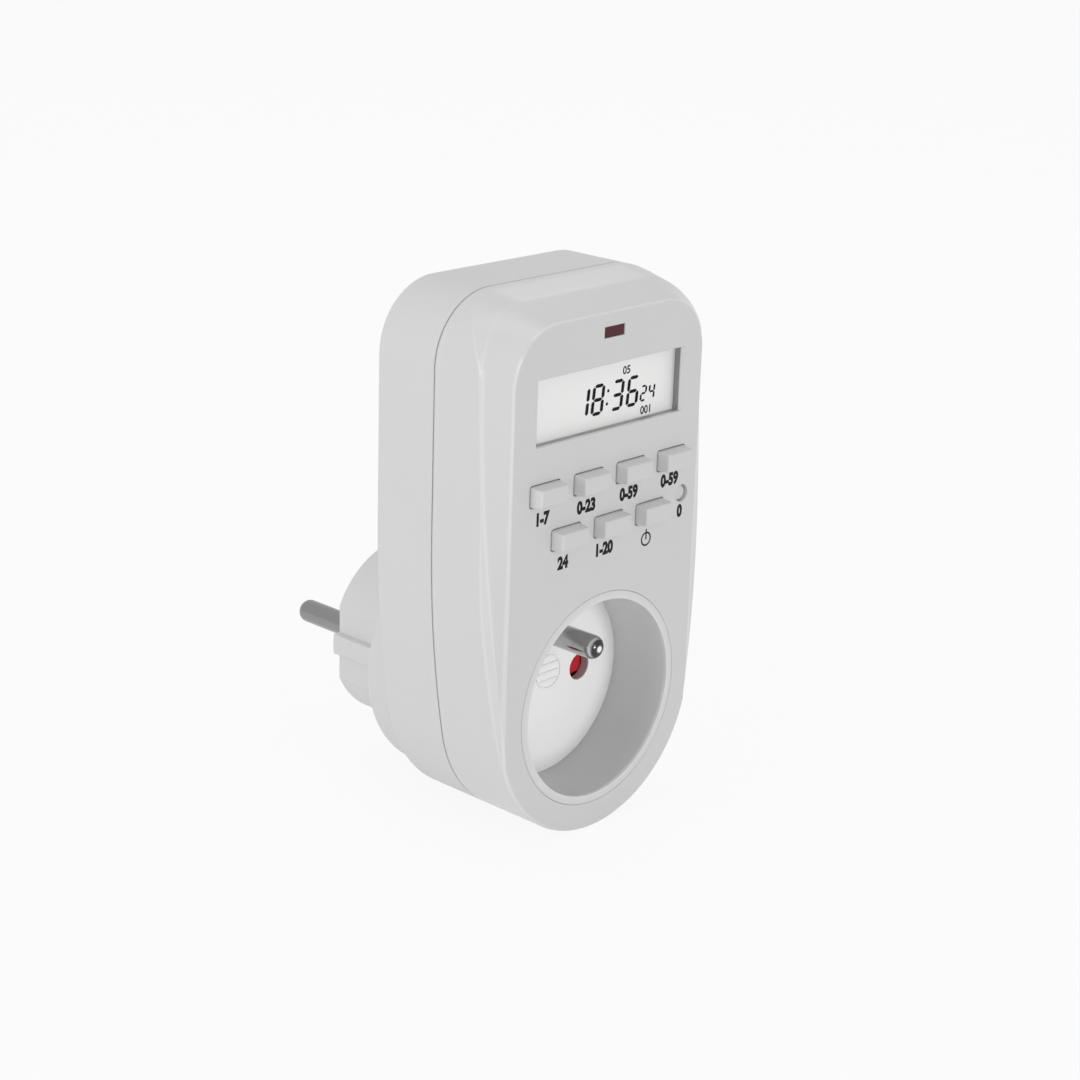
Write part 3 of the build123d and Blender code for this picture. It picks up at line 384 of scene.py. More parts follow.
def paint_well_shade(tree, place, value):
    """Paints shade in the contact holes, and on the wall of the well towards its foot."""
    parts = add_node(tree, "ShaderNodeSeparateXYZ", {}, {"Vector": place.outputs["Object"]})
    across = add_node(
        tree, "ShaderNodeCombineXYZ", {}, {"X": parts.outputs["X"], "Z": parts.outputs["Z"]}
    )
    radius = add_node(
        tree, "ShaderNodeVectorMath", {"operation": "LENGTH"}, {0: across.outputs["Vector"]}
    )
    low = add_node(
        tree,
        "ShaderNodeMapRange",
        {"From Min": WALL_LIGHT_Z, "From Max": WALL_DARK_Z, "To Max": WALL_PAINTED_SHADE},
        {"Value": parts.outputs["Z"]},
    )
    on_wall = add_node(
        tree,
        "ShaderNodeMapRange",
        {"From Min": WELL_RADIUS - WALL_BLEND / 2, "From Max": WELL_RADIUS + WALL_BLEND / 2},
        {"Value": radius.outputs["Value"]},
    )
    inside = add_node(
        tree,
        "ShaderNodeMapRange",
        {"From Min": WELL_MOUTH_Y, "From Max": WELL_MOUTH_Y + DEPTH_BLEND},
        {"Value": parts.outputs["Y"]},
    )
    wall = low.outputs["Result"]
    for share in (on_wall, inside):
        wall = add_node(
            tree,
            "ShaderNodeMath",
            {"operation": "MULTIPLY"},
            {0: wall, 1: share.outputs["Result"]},
        ).outputs[0]
    left = add_node(tree, "ShaderNodeMath", {"operation": "SUBTRACT", 0: 1.0}, {1: wall})
    value = add_node(
        tree, "ShaderNodeMath", {"operation": "MULTIPLY"}, {0: value, 1: left.outputs[0]}
    ).outputs[0]
    painted_shading = add_node(
        tree,
        "ShaderNodeMapRange",
        {
            "From Min": HOLE_START_Y,
            "From Max": HOLE_START_Y + DEPTH_BLEND,
            "To Min": 1.0,
            "To Max": HOLE_SHADE_LEVEL,
        },
        {"Value": parts.outputs["Y"]},
    )
    return add_node(
        tree, "ShaderNodeMath", {"operation": "MULTIPLY"}, {0: value, 1: painted_shading.outputs["Result"]}
    ).outputs[0]


def paint_tip_reflection(tree, place, value):
    """Paints a reflection on the rounded tip of the earth pin: a dark ring about a bright middle.
    """
    low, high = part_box("earth_pin")
    axis = ((low.x + high.x) / 2, low.y, (low.z + high.z) / 2)
    moved = add_node(
        tree,
        "ShaderNodeVectorMath",
        {"operation": "SUBTRACT", 1: axis},
        {0: place.outputs["Object"]},
    )
    parts = add_node(tree, "ShaderNodeSeparateXYZ", {}, {"Vector": moved.outputs[0]})
    across = add_node(
        tree, "ShaderNodeCombineXYZ", {}, {"X": parts.outputs["X"], "Z": parts.outputs["Z"]}
    )
    radius = add_node(
        tree, "ShaderNodeVectorMath", {"operation": "LENGTH"}, {0: across.outputs["Vector"]}
    )
    share = add_node(
        tree,
        "ShaderNodeMath",
        {"operation": "DIVIDE", 1: EARTH_PIN_RADIUS},
        {0: radius.outputs["Value"]},
    )
    ring = add_node(tree, "ShaderNodeValToRGB", {}, {"Fac": share.outputs[0]})
    stops = ring.color_ramp.elements
    # A new ramp holds two stops already, which become the first and the last
    first, *between, last = TIP_PAINTED_REFLECTION
    stops[0].position = first[0]
    stops[1].position = last[0]
    for position, _ in between:
        stops.new(position)
    for stop, (position, level) in zip(stops, TIP_PAINTED_REFLECTION):
        stop.color = (level, level, level, 1.0)
    behind = add_node(
        tree,
        "ShaderNodeMapRange",
        {"From Min": TIP_START, "From Max": TIP_END},
        {"Value": parts.outputs["Y"]},
    )
    tip = add_node(
        tree,
        "ShaderNodeMix",
        {3: SHAFT_LIGHT},
        {0: behind.outputs["Result"], 2: ring.outputs["Color"]},
    )
    return add_node(
        tree, "ShaderNodeMath", {"operation": "MULTIPLY"}, {0: value, 1: tip.outputs[0]}
    ).outputs[0]


def screen_opening():
    """Middle and half sizes of a block that holds the walls of the screen's opening."""
    low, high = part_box("lcd_window")
    front = FACE_Y + REVEAL_LIP
    middle = ((low.x + high.x) / 2, (front + low.y) / 2, (low.z + high.z) / 2)
    half = (
        (high.x - low.x) / 2 - REVEAL_EDGE,
        (low.y - front) / 2 + REVEAL_MARGIN,
        (high.z - low.z) / 2 - REVEAL_EDGE,
    )
    return middle, half


def dress(material, *names):
    """Gives a finish to CAD nodes, in place of the one that they came with."""
    for name in names:
        mesh = nodes[name].data
        mesh.materials.clear()
        mesh.materials.append(material)


def piece_from(bm, name, material):
    """Turns a finished bmesh into a dark piece that rides on the housing."""
    mesh = bpy.data.meshes.new(name)
    bm.to_mesh(mesh)
    bm.free()
    piece = bpy.data.objects.new(name, mesh)
    bpy.context.scene.collection.objects.link(piece)
    mesh.materials.append(material)
    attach(piece, HOUSING)


def add_plate(bm, outline, y_back, thickness):
    """Adds a flat plate in the X-Z plane, from an outline in metres, that stands to the front."""
    verts = [bm.verts.new((x, y_back, z)) for x, z in outline]
    face = bm.faces.new(verts)
    grown = bmesh.ops.extrude_face_region(bm, geom=[face])
    moved = [v for v in grown["geom"] if isinstance(v, bmesh.types.BMVert)]
    bmesh.ops.translate(bm, verts=moved, vec=(0, -thickness, 0))


def bar_outline(centre_x, centre_z, half_width, half_height):
    """Corners in metres of an upright rectangle given in millimetres."""
    signs = ((-1, -1), (1, -1), (1, 1), (-1, 1))
    return [
        ((centre_x + a * half_width) * MM, (centre_z + b * half_height) * MM) for a, b in signs
    ]


# Segments that each digit lights: top, upper right, lower right, bottom, lower left,
# upper left, middle
LIT = {
    "0": "1111110",
    "1": "0110000",
    "2": "1101101",
    "3": "1111001",
    "4": "0110011",
    "5": "1011011",
    "6": "1011111",
    "7": "1110000",
    "8": "1111111",
    "9": "1111011",
}
# Digits are drawn wider than their height asks for, by this factor
DIGIT_STRETCH = 1.25
# Gap at each end of a segment, as a share of its stroke
SEGMENT_GAP = 0.12


def add_digit(bm, digit, centre_x, centre_z, width, height, stroke, slant, y_back):
    """Adds the lit segments of one digit, drawn a little wide and leaned over by the slant."""
    gap = stroke * SEGMENT_GAP
    half_w = (width - stroke) / 2
    half_h = (height - stroke) / 2
    lean = tan(slant)
    bars = [
        ((-half_w, half_h), (half_w, half_h)),
        ((half_w, half_h), (half_w, 0)),
        ((half_w, 0), (half_w, -half_h)),
        ((half_w, -half_h), (-half_w, -half_h)),
        ((-half_w, -half_h), (-half_w, 0)),
        ((-half_w, 0), (-half_w, half_h)),
        ((-half_w, 0), (half_w, 0)),
    ]
    for lit, (start, end) in zip(LIT[digit], bars):
        if lit == "0":
            continue
        a = Vector(start)
        b = Vector(end)
        along = (b - a).normalized()
        across = Vector((-along.y, along.x)) * stroke / 2
        a += along * gap
        b -= along * gap
        inner_a = a + along * stroke / 2
        inner_b = b - along * stroke / 2
        corners = [a, inner_a + across, inner_b + across, b, inner_b - across, inner_a - across]
        outline = [
            ((centre_x + p.x * DIGIT_STRETCH + p.y * lean) * MM, (centre_z + p.y) * MM)
            for p in corners
        ]
        add_plate(bm, outline, y_back, FILM)


# Height of a numeral as a share of its font's size, and steps in each of its curves
NUMERAL_SHARE = 0.7
NUMERAL_STEPS = 4


def text_mesh(words, height_mm, weight_mm, centre, material, name, y, squeeze=1.0):
    """A line of plain numerals as a thin mesh, centred on a point of a plane facing front."""
    curve = bpy.data.curves.new(name, "FONT")
    curve.body = words
    curve.align_x = "CENTER"
    curve.align_y = "CENTER"
    curve.size = height_mm * MM / NUMERAL_SHARE
    curve.offset = weight_mm * MM
    curve.extrude = FILM / 2
    curve.resolution_u = NUMERAL_STEPS
    holder = bpy.data.objects.new(name + "_line", curve)
    bpy.context.scene.collection.objects.link(holder)
    bpy.context.view_layer.update()
    evaluated = holder.evaluated_get(bpy.context.evaluated_depsgraph_get())
    mesh = bpy.data.meshes.new_from_object(evaluated)
    bpy.data.objects.remove(holder)
    bpy.data.curves.remove(curve)
    mesh.name = name
    xs = [v.co.x for v in mesh.vertices]
    ys = [v.co.y for v in mesh.vertices]
    middle = Vector(((min(xs) + max(xs)) / 2, (min(ys) + max(ys)) / 2, 0))
    place = Matrix.Translation((centre[0] * MM, y, centre[1] * MM))
    upright = Matrix.Rotation(radians(90), 4, "X")
    narrow = Matrix.Diagonal((squeeze, 1, 1, 1))
    mesh.transform(place @ upright @ narrow @ Matrix.Translation(-middle))
    mesh.materials.clear()
    mesh.materials.append(material)
    piece = bpy.data.objects.new(name, mesh)
    bpy.context.scene.collection.objects.link(piece)
    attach(piece, HOUSING)


def seen_ray(tree):
    """1 where the camera looks straight at a thing, in metal or through a lens; 0 for its light."""
    path = add_node(tree, "ShaderNodeLightPath")
    seen = path.outputs["Is Camera Ray"]
    for kind in ("Is Glossy Ray", "Is Transmission Ray"):
        seen = add_node(
            tree, "ShaderNodeMath", {"operation": "MAXIMUM"}, {0: seen, 1: path.outputs[kind]}
        ).outputs[0]
    return seen


class ShellFinish(bpy.types.PropertyGroup):
    """Colours and eased edges of the moulded plastics."""

    white: bpy.props.StringProperty(
        name="White", description="Colour of the housing and buttons", default="#dcdcdc"
    )
    shutter: bpy.props.StringProperty(
        name="Shutter", description="Colour of the safety shutter", default="#b01f2a"
    )
    status: bpy.props.StringProperty(
        name="Status window", description="Colour of the status light's window", default="#582d30"
    )
    well: bpy.props.StringProperty(
        name="Well", description="Colour of the socket's well", default="#dedede"
    )
    edge: bpy.props.FloatProperty(
        name="Edge", description="Radius of the eased edges in millimetres", default=0.25, min=0
    )
    ridge: bpy.props.FloatProperty(
        name="Ridge", description="Radius of the eased ridge in millimetres", default=1.6, min=0
    )


class ScreenSettings(bpy.types.PropertyGroup):
    """Display contents and their sizes in millimetres."""

    hours: bpy.props.StringProperty(
        name="Hours", description="Two large digits before the colon", default="18"
    )
    minutes: bpy.props.StringProperty(
        name="Minutes", description="Two large digits after the colon", default="36"
    )
    seconds: bpy.props.StringProperty(
        name="Seconds", description="Two small digits", default="24"
    )
    slant: bpy.props.FloatProperty(
        name="Slant", description="Lean of the digits", default=radians(6), subtype="ANGLE"
    )
    height: bpy.props.FloatProperty(
        name="Height", description="Height of the large digits in millimetres", default=6.0
    )
    ink: bpy.props.StringProperty(
        name="Segments", description="Colour of a lit segment", default="#060607"
    )
    glass: bpy.props.StringProperty(
        name="Glass", description="Colour of the display behind the digits", default="#cccccb"
    )


class PrintSettings(bpy.types.PropertyGroup):
    """Numerals printed under the buttons."""

    ink: bpy.props.StringProperty(
        name="Ink", description="Colour of the print", default="#101010"
    )
    height: bpy.props.FloatProperty(
        name="Height", description="Height of a numeral in millimetres", default=2.3
    )
    weight: bpy.props.FloatProperty(
        name="Weight", description="Extra stroke width in millimetres", default=0.2
    )


class StageSettings(bpy.types.PropertyGroup):
    """Camera and lamps."""

    camera_place: bpy.props.FloatVectorProperty(
        name="Camera", description="Place of the camera", default=(-0.31973, -0.33704, 0.17408),
        subtype="TRANSLATION", unit="LENGTH",
    )
    lens: bpy.props.FloatProperty(
        name="Lens", description="Focal length in millimetres", default=78.69, unit="CAMERA"
    )
    yaw: bpy.props.FloatProperty(
        name="Yaw", description="Turn of the view from straight on", default=radians(47.08),
        subtype="ANGLE",
    )
    pitch: bpy.props.FloatProperty(
        name="Pitch", description="Tilt of the view below the horizon", default=radians(18.49),
        subtype="ANGLE",
    )
    roll: bpy.props.FloatProperty(
        name="Roll", description="Lean of the view", default=radians(1.86), subtype="ANGLE"
    )
    front: bpy.props.FloatProperty(
        name="Front lamp", description="Power of the lamp before the face", default=4.3,
        unit="POWER",
    )
    side: bpy.props.FloatProperty(
        name="Side lamp", description="Power of the lamp on the left", default=7.0,
        unit="POWER",
    )
    top: bpy.props.FloatProperty(
        name="Top lamp", description="Power of the lamp above", default=1.8,
        unit="POWER",
    )
    well: bpy.props.FloatProperty(
        name="Well lamp", description="Power of the narrow lamp on the well", default=30.0,
        unit="POWER",
    )
    rim: bpy.props.FloatProperty(
        name="Rim lamp", description="Power of the small lamp behind on the right", default=0.3,
        unit="POWER",
    )
    fill: bpy.props.FloatProperty(
        name="Fill", description="Brightness of the even light from all round", default=0.75
    )


class TIMER_OT_mouldings(bpy.types.Operator):
    """Finish the housing, the well, the buttons, the shutter and the light's window"""

    bl_idname = "timer.mouldings"
    bl_label = "Mouldings"

    def execute(self, context):
        finish = context.scene.timer_shell
        # Matt white ABS from a spark-eroded mould: soft broad highlights and a fine even grain
        white = surface(
            "abs_moulded_white", finish.white, 0.42, ior=1.53, grain_mm=0.35,
            grain_depth_mm=0.006, tint=0.012, edge_mm=finish.edge,
        )
        # The same plastic on the buttons, handled smooth, so its highlight is a little tighter
        smooth = surface(
            "abs_button_white", finish.white, 0.36, ior=1.53, grain_mm=0.5,
            grain_depth_mm=0.003, tint=0.01, edge_mm=finish.edge,
        )
        dress(white, "rear_shell", "plug_body")
        # White ABS of the front, rubbed smoother: its ridges blend softly, with a painted highlight
        # on the outer edges and painted shade on the walls of the screen's opening
        front = surface(
            "abs_moulded_front", finish.white, 0.3, ior=1.53, grain_mm=0.35,
            grain_depth_mm=0.004, tint=0.012, edge_mm=finish.edge, ridge_mm=finish.ridge,
            painted_ridge_highlight=0.15, painted_shading=paint_reveal_shade,
        )
        dress(front, "front_shell")
        # Moulded polycarbonate of the well: a shade whiter than the housing, with a soft sheen, and
        # painted shade in its contact holes and towards the foot of its wall
        cup = surface(
            "polycarbonate_well", finish.well, 0.38, ior=1.58, grain_mm=0.35,
            grain_depth_mm=0.004, tint=0.012, edge_mm=0.15, painted_shading=paint_well_shade,
        )
        dress(cup, "socket_cup")
        dress(smooth, *BUTTONS, "reset_button")
        # Glossy polycarbonate shutter: saturated red with a clear highlight
        dress(
            surface("polycarbonate_red", finish.shutter, 0.22, ior=1.58, tint=0.03),
            "shutter",
        )
        # Smoked acrylic over the light: dark red, smooth and even, with a weak reflection
        smoked = surface(
            "acrylic_smoked_red", finish.status, 0.28, ior=1.25, tint=0.0, grain_depth_mm=0.0
        )
        dress(smoked, "status_lens")
        return {"FINISHED"}


class TIMER_OT_metal(bpy.types.Operator):
    """Finish the pins, the earth clips and the strips inside"""

    bl_idname = "timer.metal"
    bl_label = "Metal"

    def execute(self, context):
        # Nickel-plated brass pins, barrel polished: clear reflections with turning marks round
        # the pin
        nickel = surface(
            "nickel_plated_brass", "#959595", 0.2, metallic=1.0, grain_mm=0.5,
            grain_depth_mm=0.002, tint=0.05, stretch=(1.0, 6.0, 1.0),
        )
        dress(nickel, "plug_pin_left", "plug_pin_right", "earth_clip_top", "earth_clip_bottom")
        # The same plate on the earth pin, with a painted reflection on its rounded tip: a bright
        # middle inside a dark ring
        dress(
            surface(
                "nickel_plated_earth_pin", "#f0f0f0", 0.14, metallic=1.0, grain_mm=0.5,
                grain_depth_mm=0.002, tint=0.05, stretch=(1.0, 6.0, 1.0), painted_shading=paint_tip_reflection,
            ),
            "earth_pin",
        )
        # Stamped brass strip: yellow, with fine drawing lines from the press
        brass = surface(
            "brass_stamped", "#c9a35c", 0.3, metallic=1.0, grain_mm=0.4, tint=0.06,
            stretch=(1.0, 5.0, 1.0),
        )
        dress(
            brass, "socket_contact_left", "socket_contact_right", "earth_sleeve",
            "earth_strap", "live_bus", "neutral_bus", "load_bus",
        )
        # Zinc-plated steel: pale grey with a cloudy plate
        zinc = surface("steel_zinc_plated", "#a9abad", 0.35, metallic=1.0, tint=0.1)
        dress(
            zinc, "housing_screws", "control_board_screws", "power_board_screws",
            "block_screws", "shutter_spring", "backup_battery", "crystal",
        )
        return {"FINISHED"}


class TIMER_OT_inside(bpy.types.Operator):
    """Finish the boards and the components that the housing hides"""

    bl_idname = "timer.inside"
    bl_label = "Inside"

    def execute(self, context):
        # Glass-epoxy laminate under green solder resist: the weave shows as a fine grain
        dress(
            surface("laminate_green_resist", "#1c5a34", 0.35, grain_mm=0.8, tint=0.12),
            "control_board", "power_board",
        )
        # Epoxy moulding compound: matt black with a sandy grain
        dress(
            surface("epoxy_black", "#17171a", 0.6, grain_mm=0.25, tint=0.15),
            "controller_chip", "diode_bridge", "board_header", "tact_switches", "relay",
        )
        # Glass-filled polyester that carries live parts: grey and slightly rough
        dress(
            surface("polyester_glass_filled", "#8b8d90", 0.5, grain_mm=0.4, tint=0.05),
            "contact_block", "pin_plate", "lcd_frame",
        )
        # Layered silicone rubber strip: dull grey
        dress(
            surface("silicone_grey", "#4a4a4c", 0.8, grain_mm=0.3, tint=0.1),
            "elastomer_strips",
        )
        # Dipped epoxy film capacitor: yellow and glossy
        dress(
            surface("film_capacitor_yellow", "#c99a2a", 0.25, grain_mm=1.5, tint=0.06),
            "dropper_capacitor",
        )
        # Shrunk sleeve over aluminium cans: dark blue and smooth
        dress(
            surface("sleeve_dark_blue", "#1d3461", 0.3, grain_mm=1.0, tint=0.08),
            "smoothing_capacitor", "varistor",
        )
        # Phenolic cap of the fuse: brown with a soft shine
        dress(
            surface("phenolic_brown", "#4a2a1c", 0.4, grain_mm=0.6, tint=0.1), "fuse"
        )
        # Diffusing epoxy of the light: milky red
        dress(surface("led_epoxy_red", "#c0473f", 0.3, tint=0.04), "status_led")
        return {"FINISHED"}


# The display's large digits and colon, in millimetres from the middle line and the pin line
LARGE_ROW = 59.5
LARGE_PLACES = (-4.96, -0.85, 4.64, 9.0)
LARGE_WIDTH = 2.75
LARGE_STROKE = 0.68
COLON_PLACE = 1.86
COLON_RISE = 1.25
DOT_HALF = 0.28
# Its small digits
SMALL_ROW = 58.55
SMALL_PLACES = (12.11, 14.5)
SMALL_WIDTH = 1.5
SMALL_HEIGHT = 3.2
SMALL_STROKE = 0.42
# Its two notes: name, numerals and centre
NOTES = (("screen_day", "05", (6.96, 64.0)), ("screen_state", "001", (12.87, 55.25)))
NOTE_HEIGHT = 1.55
NOTE_WEIGHT = 0.05
# The segments stand this far in front of the display
SEGMENT_LIFT = 0.002 * MM
# The window is drawn this much thinner than it is
WINDOW_GAP = 0.02 * MM


class TIMER_OT_screen(bpy.types.Operator):
    """Finish the display and light its digits"""

    bl_idname = "timer.screen"
    bl_label = "Screen"

    def execute(self, context):
        screen = context.scene.timer_screen
        # Rear polariser of the display: pale warm grey with a faint sparkle, and a painted glow
        # that brightens it though it is no lamp
        glass = surface(
            "lcd_polariser_pale", screen.glass, 0.35, grain_mm=0.15, grain_depth_mm=0.001,
            tint=0.008, rough_spread=0.03, glow=0.3,
        )
        dress(glass, "lcd_panel")
        # Clear acrylic window: nearly unseen but for its reflection
        clear = surface(
            "acrylic_clear", "#f4f6f6", 0.08, ior=1.49, grain_mm=2.0, grain_depth_mm=0.0005,
            tint=0.005, rough_spread=0.02, alpha=0.012,
        )
        dress(clear, "lcd_window")
        # The window touches the display, and two faces in one place would show as specks
        thinner = nodes["lcd_window"].modifiers.new("hair_gap", "DISPLACE")
        thinner.strength = -WINDOW_GAP
        thinner.mid_level = 0.0
        # Liquid crystal turned dark: a deep black with no shine of its own
        dark = surface("lcd_segment_dark", screen.ink, 0.5, ior=1.05, grain_mm=0.2, tint=0.05)
        front = PANEL_Y - SEGMENT_LIFT
        bm = bmesh.new()
        for centre_x, digit in zip(LARGE_PLACES, screen.hours + screen.minutes):
            add_digit(
                bm, digit, centre_x, LARGE_ROW, LARGE_WIDTH, screen.height, LARGE_STROKE,
                screen.slant, front,
            )
        for rise in (-COLON_RISE, COLON_RISE):
            x = COLON_PLACE + rise * tan(screen.slant)
            dot = bar_outline(x, LARGE_ROW + rise, DOT_HALF, DOT_HALF)
            add_plate(bm, dot, front, FILM)
        piece_from(bm, "screen_digits_large", dark)
        bm = bmesh.new()
        for centre_x, digit in zip(SMALL_PLACES, screen.seconds):
            add_digit(
                bm, digit, centre_x, SMALL_ROW, SMALL_WIDTH, SMALL_HEIGHT, SMALL_STROKE,
                screen.slant, front,
            )
        piece_from(bm, "screen_digits_small", dark)
        for name, words, centre in NOTES:
            text_mesh(words, NOTE_HEIGHT, NOTE_WEIGHT, centre, dark, name, front)
        return {"FINISHED"}


# Numerals under the buttons: button, numerals and centre in millimetres
LABELS = (
    ("week", "1-7", (-17.6, 40.4)),
    ("hour", "0-23", (-5.9, 40.4)),
    ("minute", "0-59", (6.1, 40.5)),
    ("second", "0-59", (18.0, 40.8)),
    ("clock", "24", (-11.8, 30.6)),
    ("program", "1-20", (-0.2, 30.8)),
    ("reset", "0", (21.5, 33.7)),
)
# Width of the numerals as a share of the font's
LABEL_SQUEEZE = 0.85
# The numerals stand this far in front of the face
PRINT_LIFT = 0.003 * MM
# The ring and bar of the manual button, in millimetres
MARK_CENTRE = (11.8, 30.0)
MARK_OUTER = 1.45
MARK_INNER = 1.1
MARK_SIDES = 40
MARK_BAR_CENTRE = 30.95
MARK_BAR_HALF_HEIGHT = 1.05
MARK_BAR_HALF_WIDTH = 0.18


class TIMER_OT_face_print(bpy.types.Operator):
    """Print plain numerals and marks under the buttons"""

    bl_idname = "timer.face_print"
    bl_label = "Face print"

    def execute(self, context):
        settings = context.scene.timer_print
        # Pad-printed ink: black, thin and matt, with slightly uneven cover
        ink = surface("pad_print_black", settings.ink, 0.55, ior=1.3, grain_mm=0.2, tint=0.1)
        for name, words, centre in LABELS:
            text_mesh(
                words, settings.height, settings.weight, centre, ink, "print_" + name,
                FACE_Y - PRINT_LIFT, squeeze=LABEL_SQUEEZE,
            )
        self.manual_mark(ink)
        return {"FINISHED"}

    def manual_mark(self, ink):
        """A plain ring with a bar, the mark of the manual button."""
        across, up = MARK_CENTRE
        bm = bmesh.new()
        bmesh.ops.create_circle(bm, cap_ends=False, radius=MARK_OUTER * MM, segments=MARK_SIDES)
        grown = bmesh.ops.extrude_edge_only(bm, edges=bm.edges[:])
        moved = [v for v in grown["geom"] if isinstance(v, bmesh.types.BMVert)]
        narrower = MARK_INNER / MARK_OUTER
        bmesh.ops.scale(bm, verts=moved, vec=(narrower, narrower, 1))
        place = Matrix.Translation((across * MM, FACE_Y, up * MM))
        upright = Matrix.Rotation(radians(90), 4, "X")
        bmesh.ops.transform(bm, matrix=place @ upright, verts=bm.verts)
        sheet = bmesh.ops.extrude_face_region(bm, geom=bm.faces[:])
        lifted = [v for v in sheet["geom"] if isinstance(v, bmesh.types.BMVert)]
        bmesh.ops.translate(bm, verts=lifted, vec=(0, -FILM, 0))
        bar = bar_outline(across, MARK_BAR_CENTRE, MARK_BAR_HALF_WIDTH, MARK_BAR_HALF_HEIGHT)
        add_plate(bm, bar, FACE_Y, BAR_FILM)
        bmesh.ops.recalc_face_normals(bm, faces=bm.faces[:])
        piece_from(bm, "print_manual", ink)


# Square lamps that point at the middle of the timer: name, place and side in metres
LAMPS = (
    ("front", (-0.1, -1.5, 0.25), 0.7),
    ("side", (-1.5, 0.1, 0.2), 0.7),
    ("top", (0.0, 0.1, 1.5), 0.7),
    ("rim", (0.78, 0.49, 0.77), 0.18),
)
# The narrow lamp in front of the well: place, width of its beam, soft edge and radius
WELL_LAMP_PLACE = (0.0, -1.5, 0.0)
WELL_LAMP_BEAM = radians(1.55)
WELL_LAMP_BLEND = 0.15
WELL_LAMP_RADIUS = 3 * MM
# Half the floor's width in metres, its colour in the light, and how much of it looks plain white
FLOOR_HALF = 6
FLOOR_WHITE = "#efefef"
FLOOR_SEEN = 0.9
# Width of the camera's sensor in millimetres, and how near it sees in metres
SENSOR_WIDTH = 36
CLIP_START = 0.01


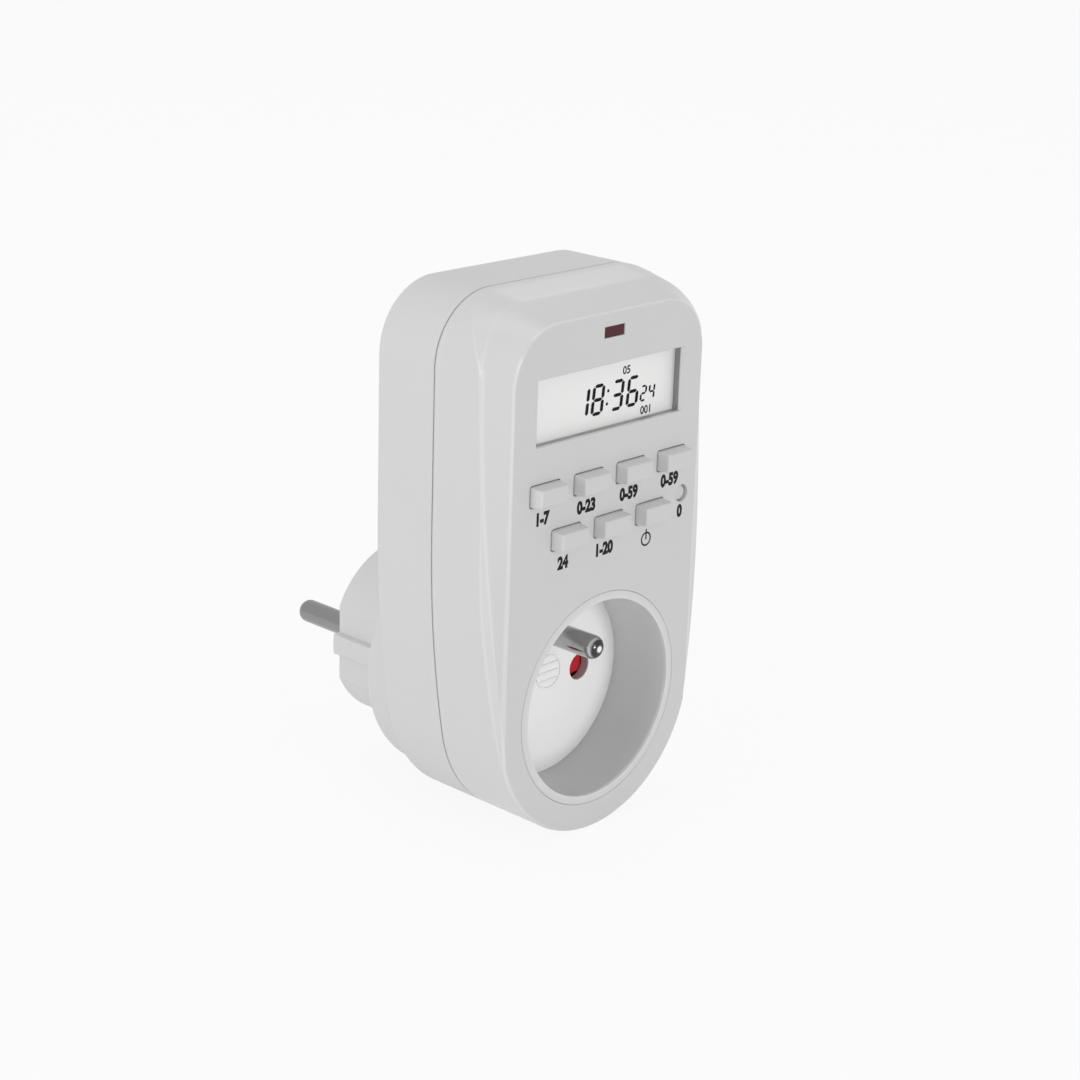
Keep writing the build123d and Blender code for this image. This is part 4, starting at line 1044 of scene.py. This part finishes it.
class TIMER_OT_stage(bpy.types.Operator):
    """Set the floor, the lamps, the world and the camera"""

    bl_idname = "timer.stage"
    bl_label = "Stage"

    def execute(self, context):
        stage = context.scene.timer_stage
        self.floor()
        self.world(stage.fill)
        middle = (cad_box[0] + cad_box[1]) / 2
        for name, place, side in LAMPS:
            self.lamp(name + "_lamp", place, middle, side, getattr(stage, name))
        self.spot("well_lamp", stage.well)
        self.camera(stage)
        context.scene.view_settings.view_transform = "Standard"
        return {"FINISHED"}

    def camera(self, stage):
        """A camera that stands and looks as the photo's did."""
        camera = bpy.data.cameras.new("photo_camera")
        camera.lens = stage.lens
        camera.sensor_width = SENSOR_WIDTH
        camera.clip_start = CLIP_START
        holder = bpy.data.objects.new("photo_camera", camera)
        bpy.context.scene.collection.objects.link(holder)
        turn = (
            Matrix.Rotation(-stage.yaw, 4, "Z")
            @ Matrix.Rotation(radians(90) - stage.pitch, 4, "X")
            @ Matrix.Rotation(stage.roll, 4, "Z")
        )
        holder.matrix_world = Matrix.Translation(Vector(stage.camera_place)) @ turn
        bpy.context.scene.camera = holder

    def floor(self):
        """A wide white floor that keeps the object's shadow and meets the white background."""
        bm = bmesh.new()
        bmesh.ops.create_grid(bm, x_segments=1, y_segments=1, size=FLOOR_HALF)
        bmesh.ops.translate(bm, verts=bm.verts, vec=(0, 0, cad_box[0].z))
        mesh = bpy.data.meshes.new("studio_floor")
        bm.to_mesh(mesh)
        bm.free()
        floor = bpy.data.objects.new("studio_floor", mesh)
        bpy.context.scene.collection.objects.link(floor)
        material, tree = new_material("studio_floor_white")
        diffuse = add_node(tree, "ShaderNodeBsdfDiffuse", {"Color": linear(FLOOR_WHITE)})
        glow = add_node(tree, "ShaderNodeEmission", {"Strength": 1.0})
        share = add_node(
            tree,
            "ShaderNodeMath",
            {"operation": "MULTIPLY", 1: FLOOR_SEEN},
            {0: seen_ray(tree)},
        )
        mix = add_node(
            tree,
            "ShaderNodeMixShader",
            {},
            {0: share.outputs[0], 1: diffuse.outputs[0], 2: glow.outputs[0]},
        )
        add_node(tree, "ShaderNodeOutputMaterial", {}, {"Surface": mix.outputs[0]})
        mesh.materials.append(material)

    def world(self, fill):
        """Even soft light from all round, seen as plain white by the camera."""
        world = bpy.data.worlds.new("studio_world")
        bpy.context.scene.world = world
        world.use_nodes = True
        tree = world.node_tree
        tree.nodes.clear()
        strength = add_node(
            tree,
            "ShaderNodeMapRange",
            {"To Min": fill, "To Max": 1.0},
            {"Value": seen_ray(tree)},
        )
        back = add_node(
            tree, "ShaderNodeBackground", {}, {"Strength": strength.outputs["Result"]}
        )
        add_node(tree, "ShaderNodeOutputWorld", {}, {"Surface": back.outputs[0]})

    def lamp(self, name, place, aim, side, power):
        """A soft square lamp that points at a place."""
        light = bpy.data.lights.new(name, "AREA")
        light.size = side
        light.energy = power
        holder = bpy.data.objects.new(name, light)
        bpy.context.scene.collection.objects.link(holder)
        holder.location = place
        holder.rotation_euler = (aim - Vector(place)).to_track_quat("-Z", "Y").to_euler()

    def spot(self, name, power):
        """A narrow lamp straight in front of the well, so that its floor isn't left dark."""
        light = bpy.data.lights.new(name, "SPOT")
        light.energy = power
        light.shadow_soft_size = WELL_LAMP_RADIUS
        light.spot_size = WELL_LAMP_BEAM
        light.spot_blend = WELL_LAMP_BLEND
        holder = bpy.data.objects.new(name, light)
        bpy.context.scene.collection.objects.link(holder)
        holder.location = WELL_LAMP_PLACE
        holder.rotation_euler = (radians(90), 0, 0)


class TIMER_PT_panel(bpy.types.Panel):
    """Buttons for each step of the dressing"""

    bl_label = "Plug-in timer"
    bl_idname = "TIMER_PT_panel"
    bl_space_type = "VIEW_3D"
    bl_region_type = "UI"
    bl_category = "Timer"

    def draw(self, context):
        for operator in OPERATORS:
            self.layout.operator(operator.bl_idname)


GROUPS = {
    "timer_shell": ShellFinish,
    "timer_screen": ScreenSettings,
    "timer_print": PrintSettings,
    "timer_stage": StageSettings,
}
OPERATORS = [
    TIMER_OT_mouldings,
    TIMER_OT_metal,
    TIMER_OT_inside,
    TIMER_OT_screen,
    TIMER_OT_face_print,
    TIMER_OT_stage,
]


def register():
    for group in GROUPS.values():
        bpy.utils.register_class(group)
    for cls in [*OPERATORS, TIMER_PT_panel]:
        bpy.utils.register_class(cls)
    for name, group in GROUPS.items():
        setattr(bpy.types.Scene, name, bpy.props.PointerProperty(type=group))


def unregister():
    for name in GROUPS:
        delattr(bpy.types.Scene, name)
    for cls in [TIMER_PT_panel, *reversed(OPERATORS)]:
        bpy.utils.unregister_class(cls)
    for group in GROUPS.values():
        bpy.utils.unregister_class(group)


def main():
    register()
    bpy.ops.timer.mouldings()
    bpy.ops.timer.metal()
    bpy.ops.timer.inside()
    bpy.ops.timer.screen()
    bpy.ops.timer.face_print()
    bpy.ops.timer.stage()


if __name__ == "__main__":
    main()
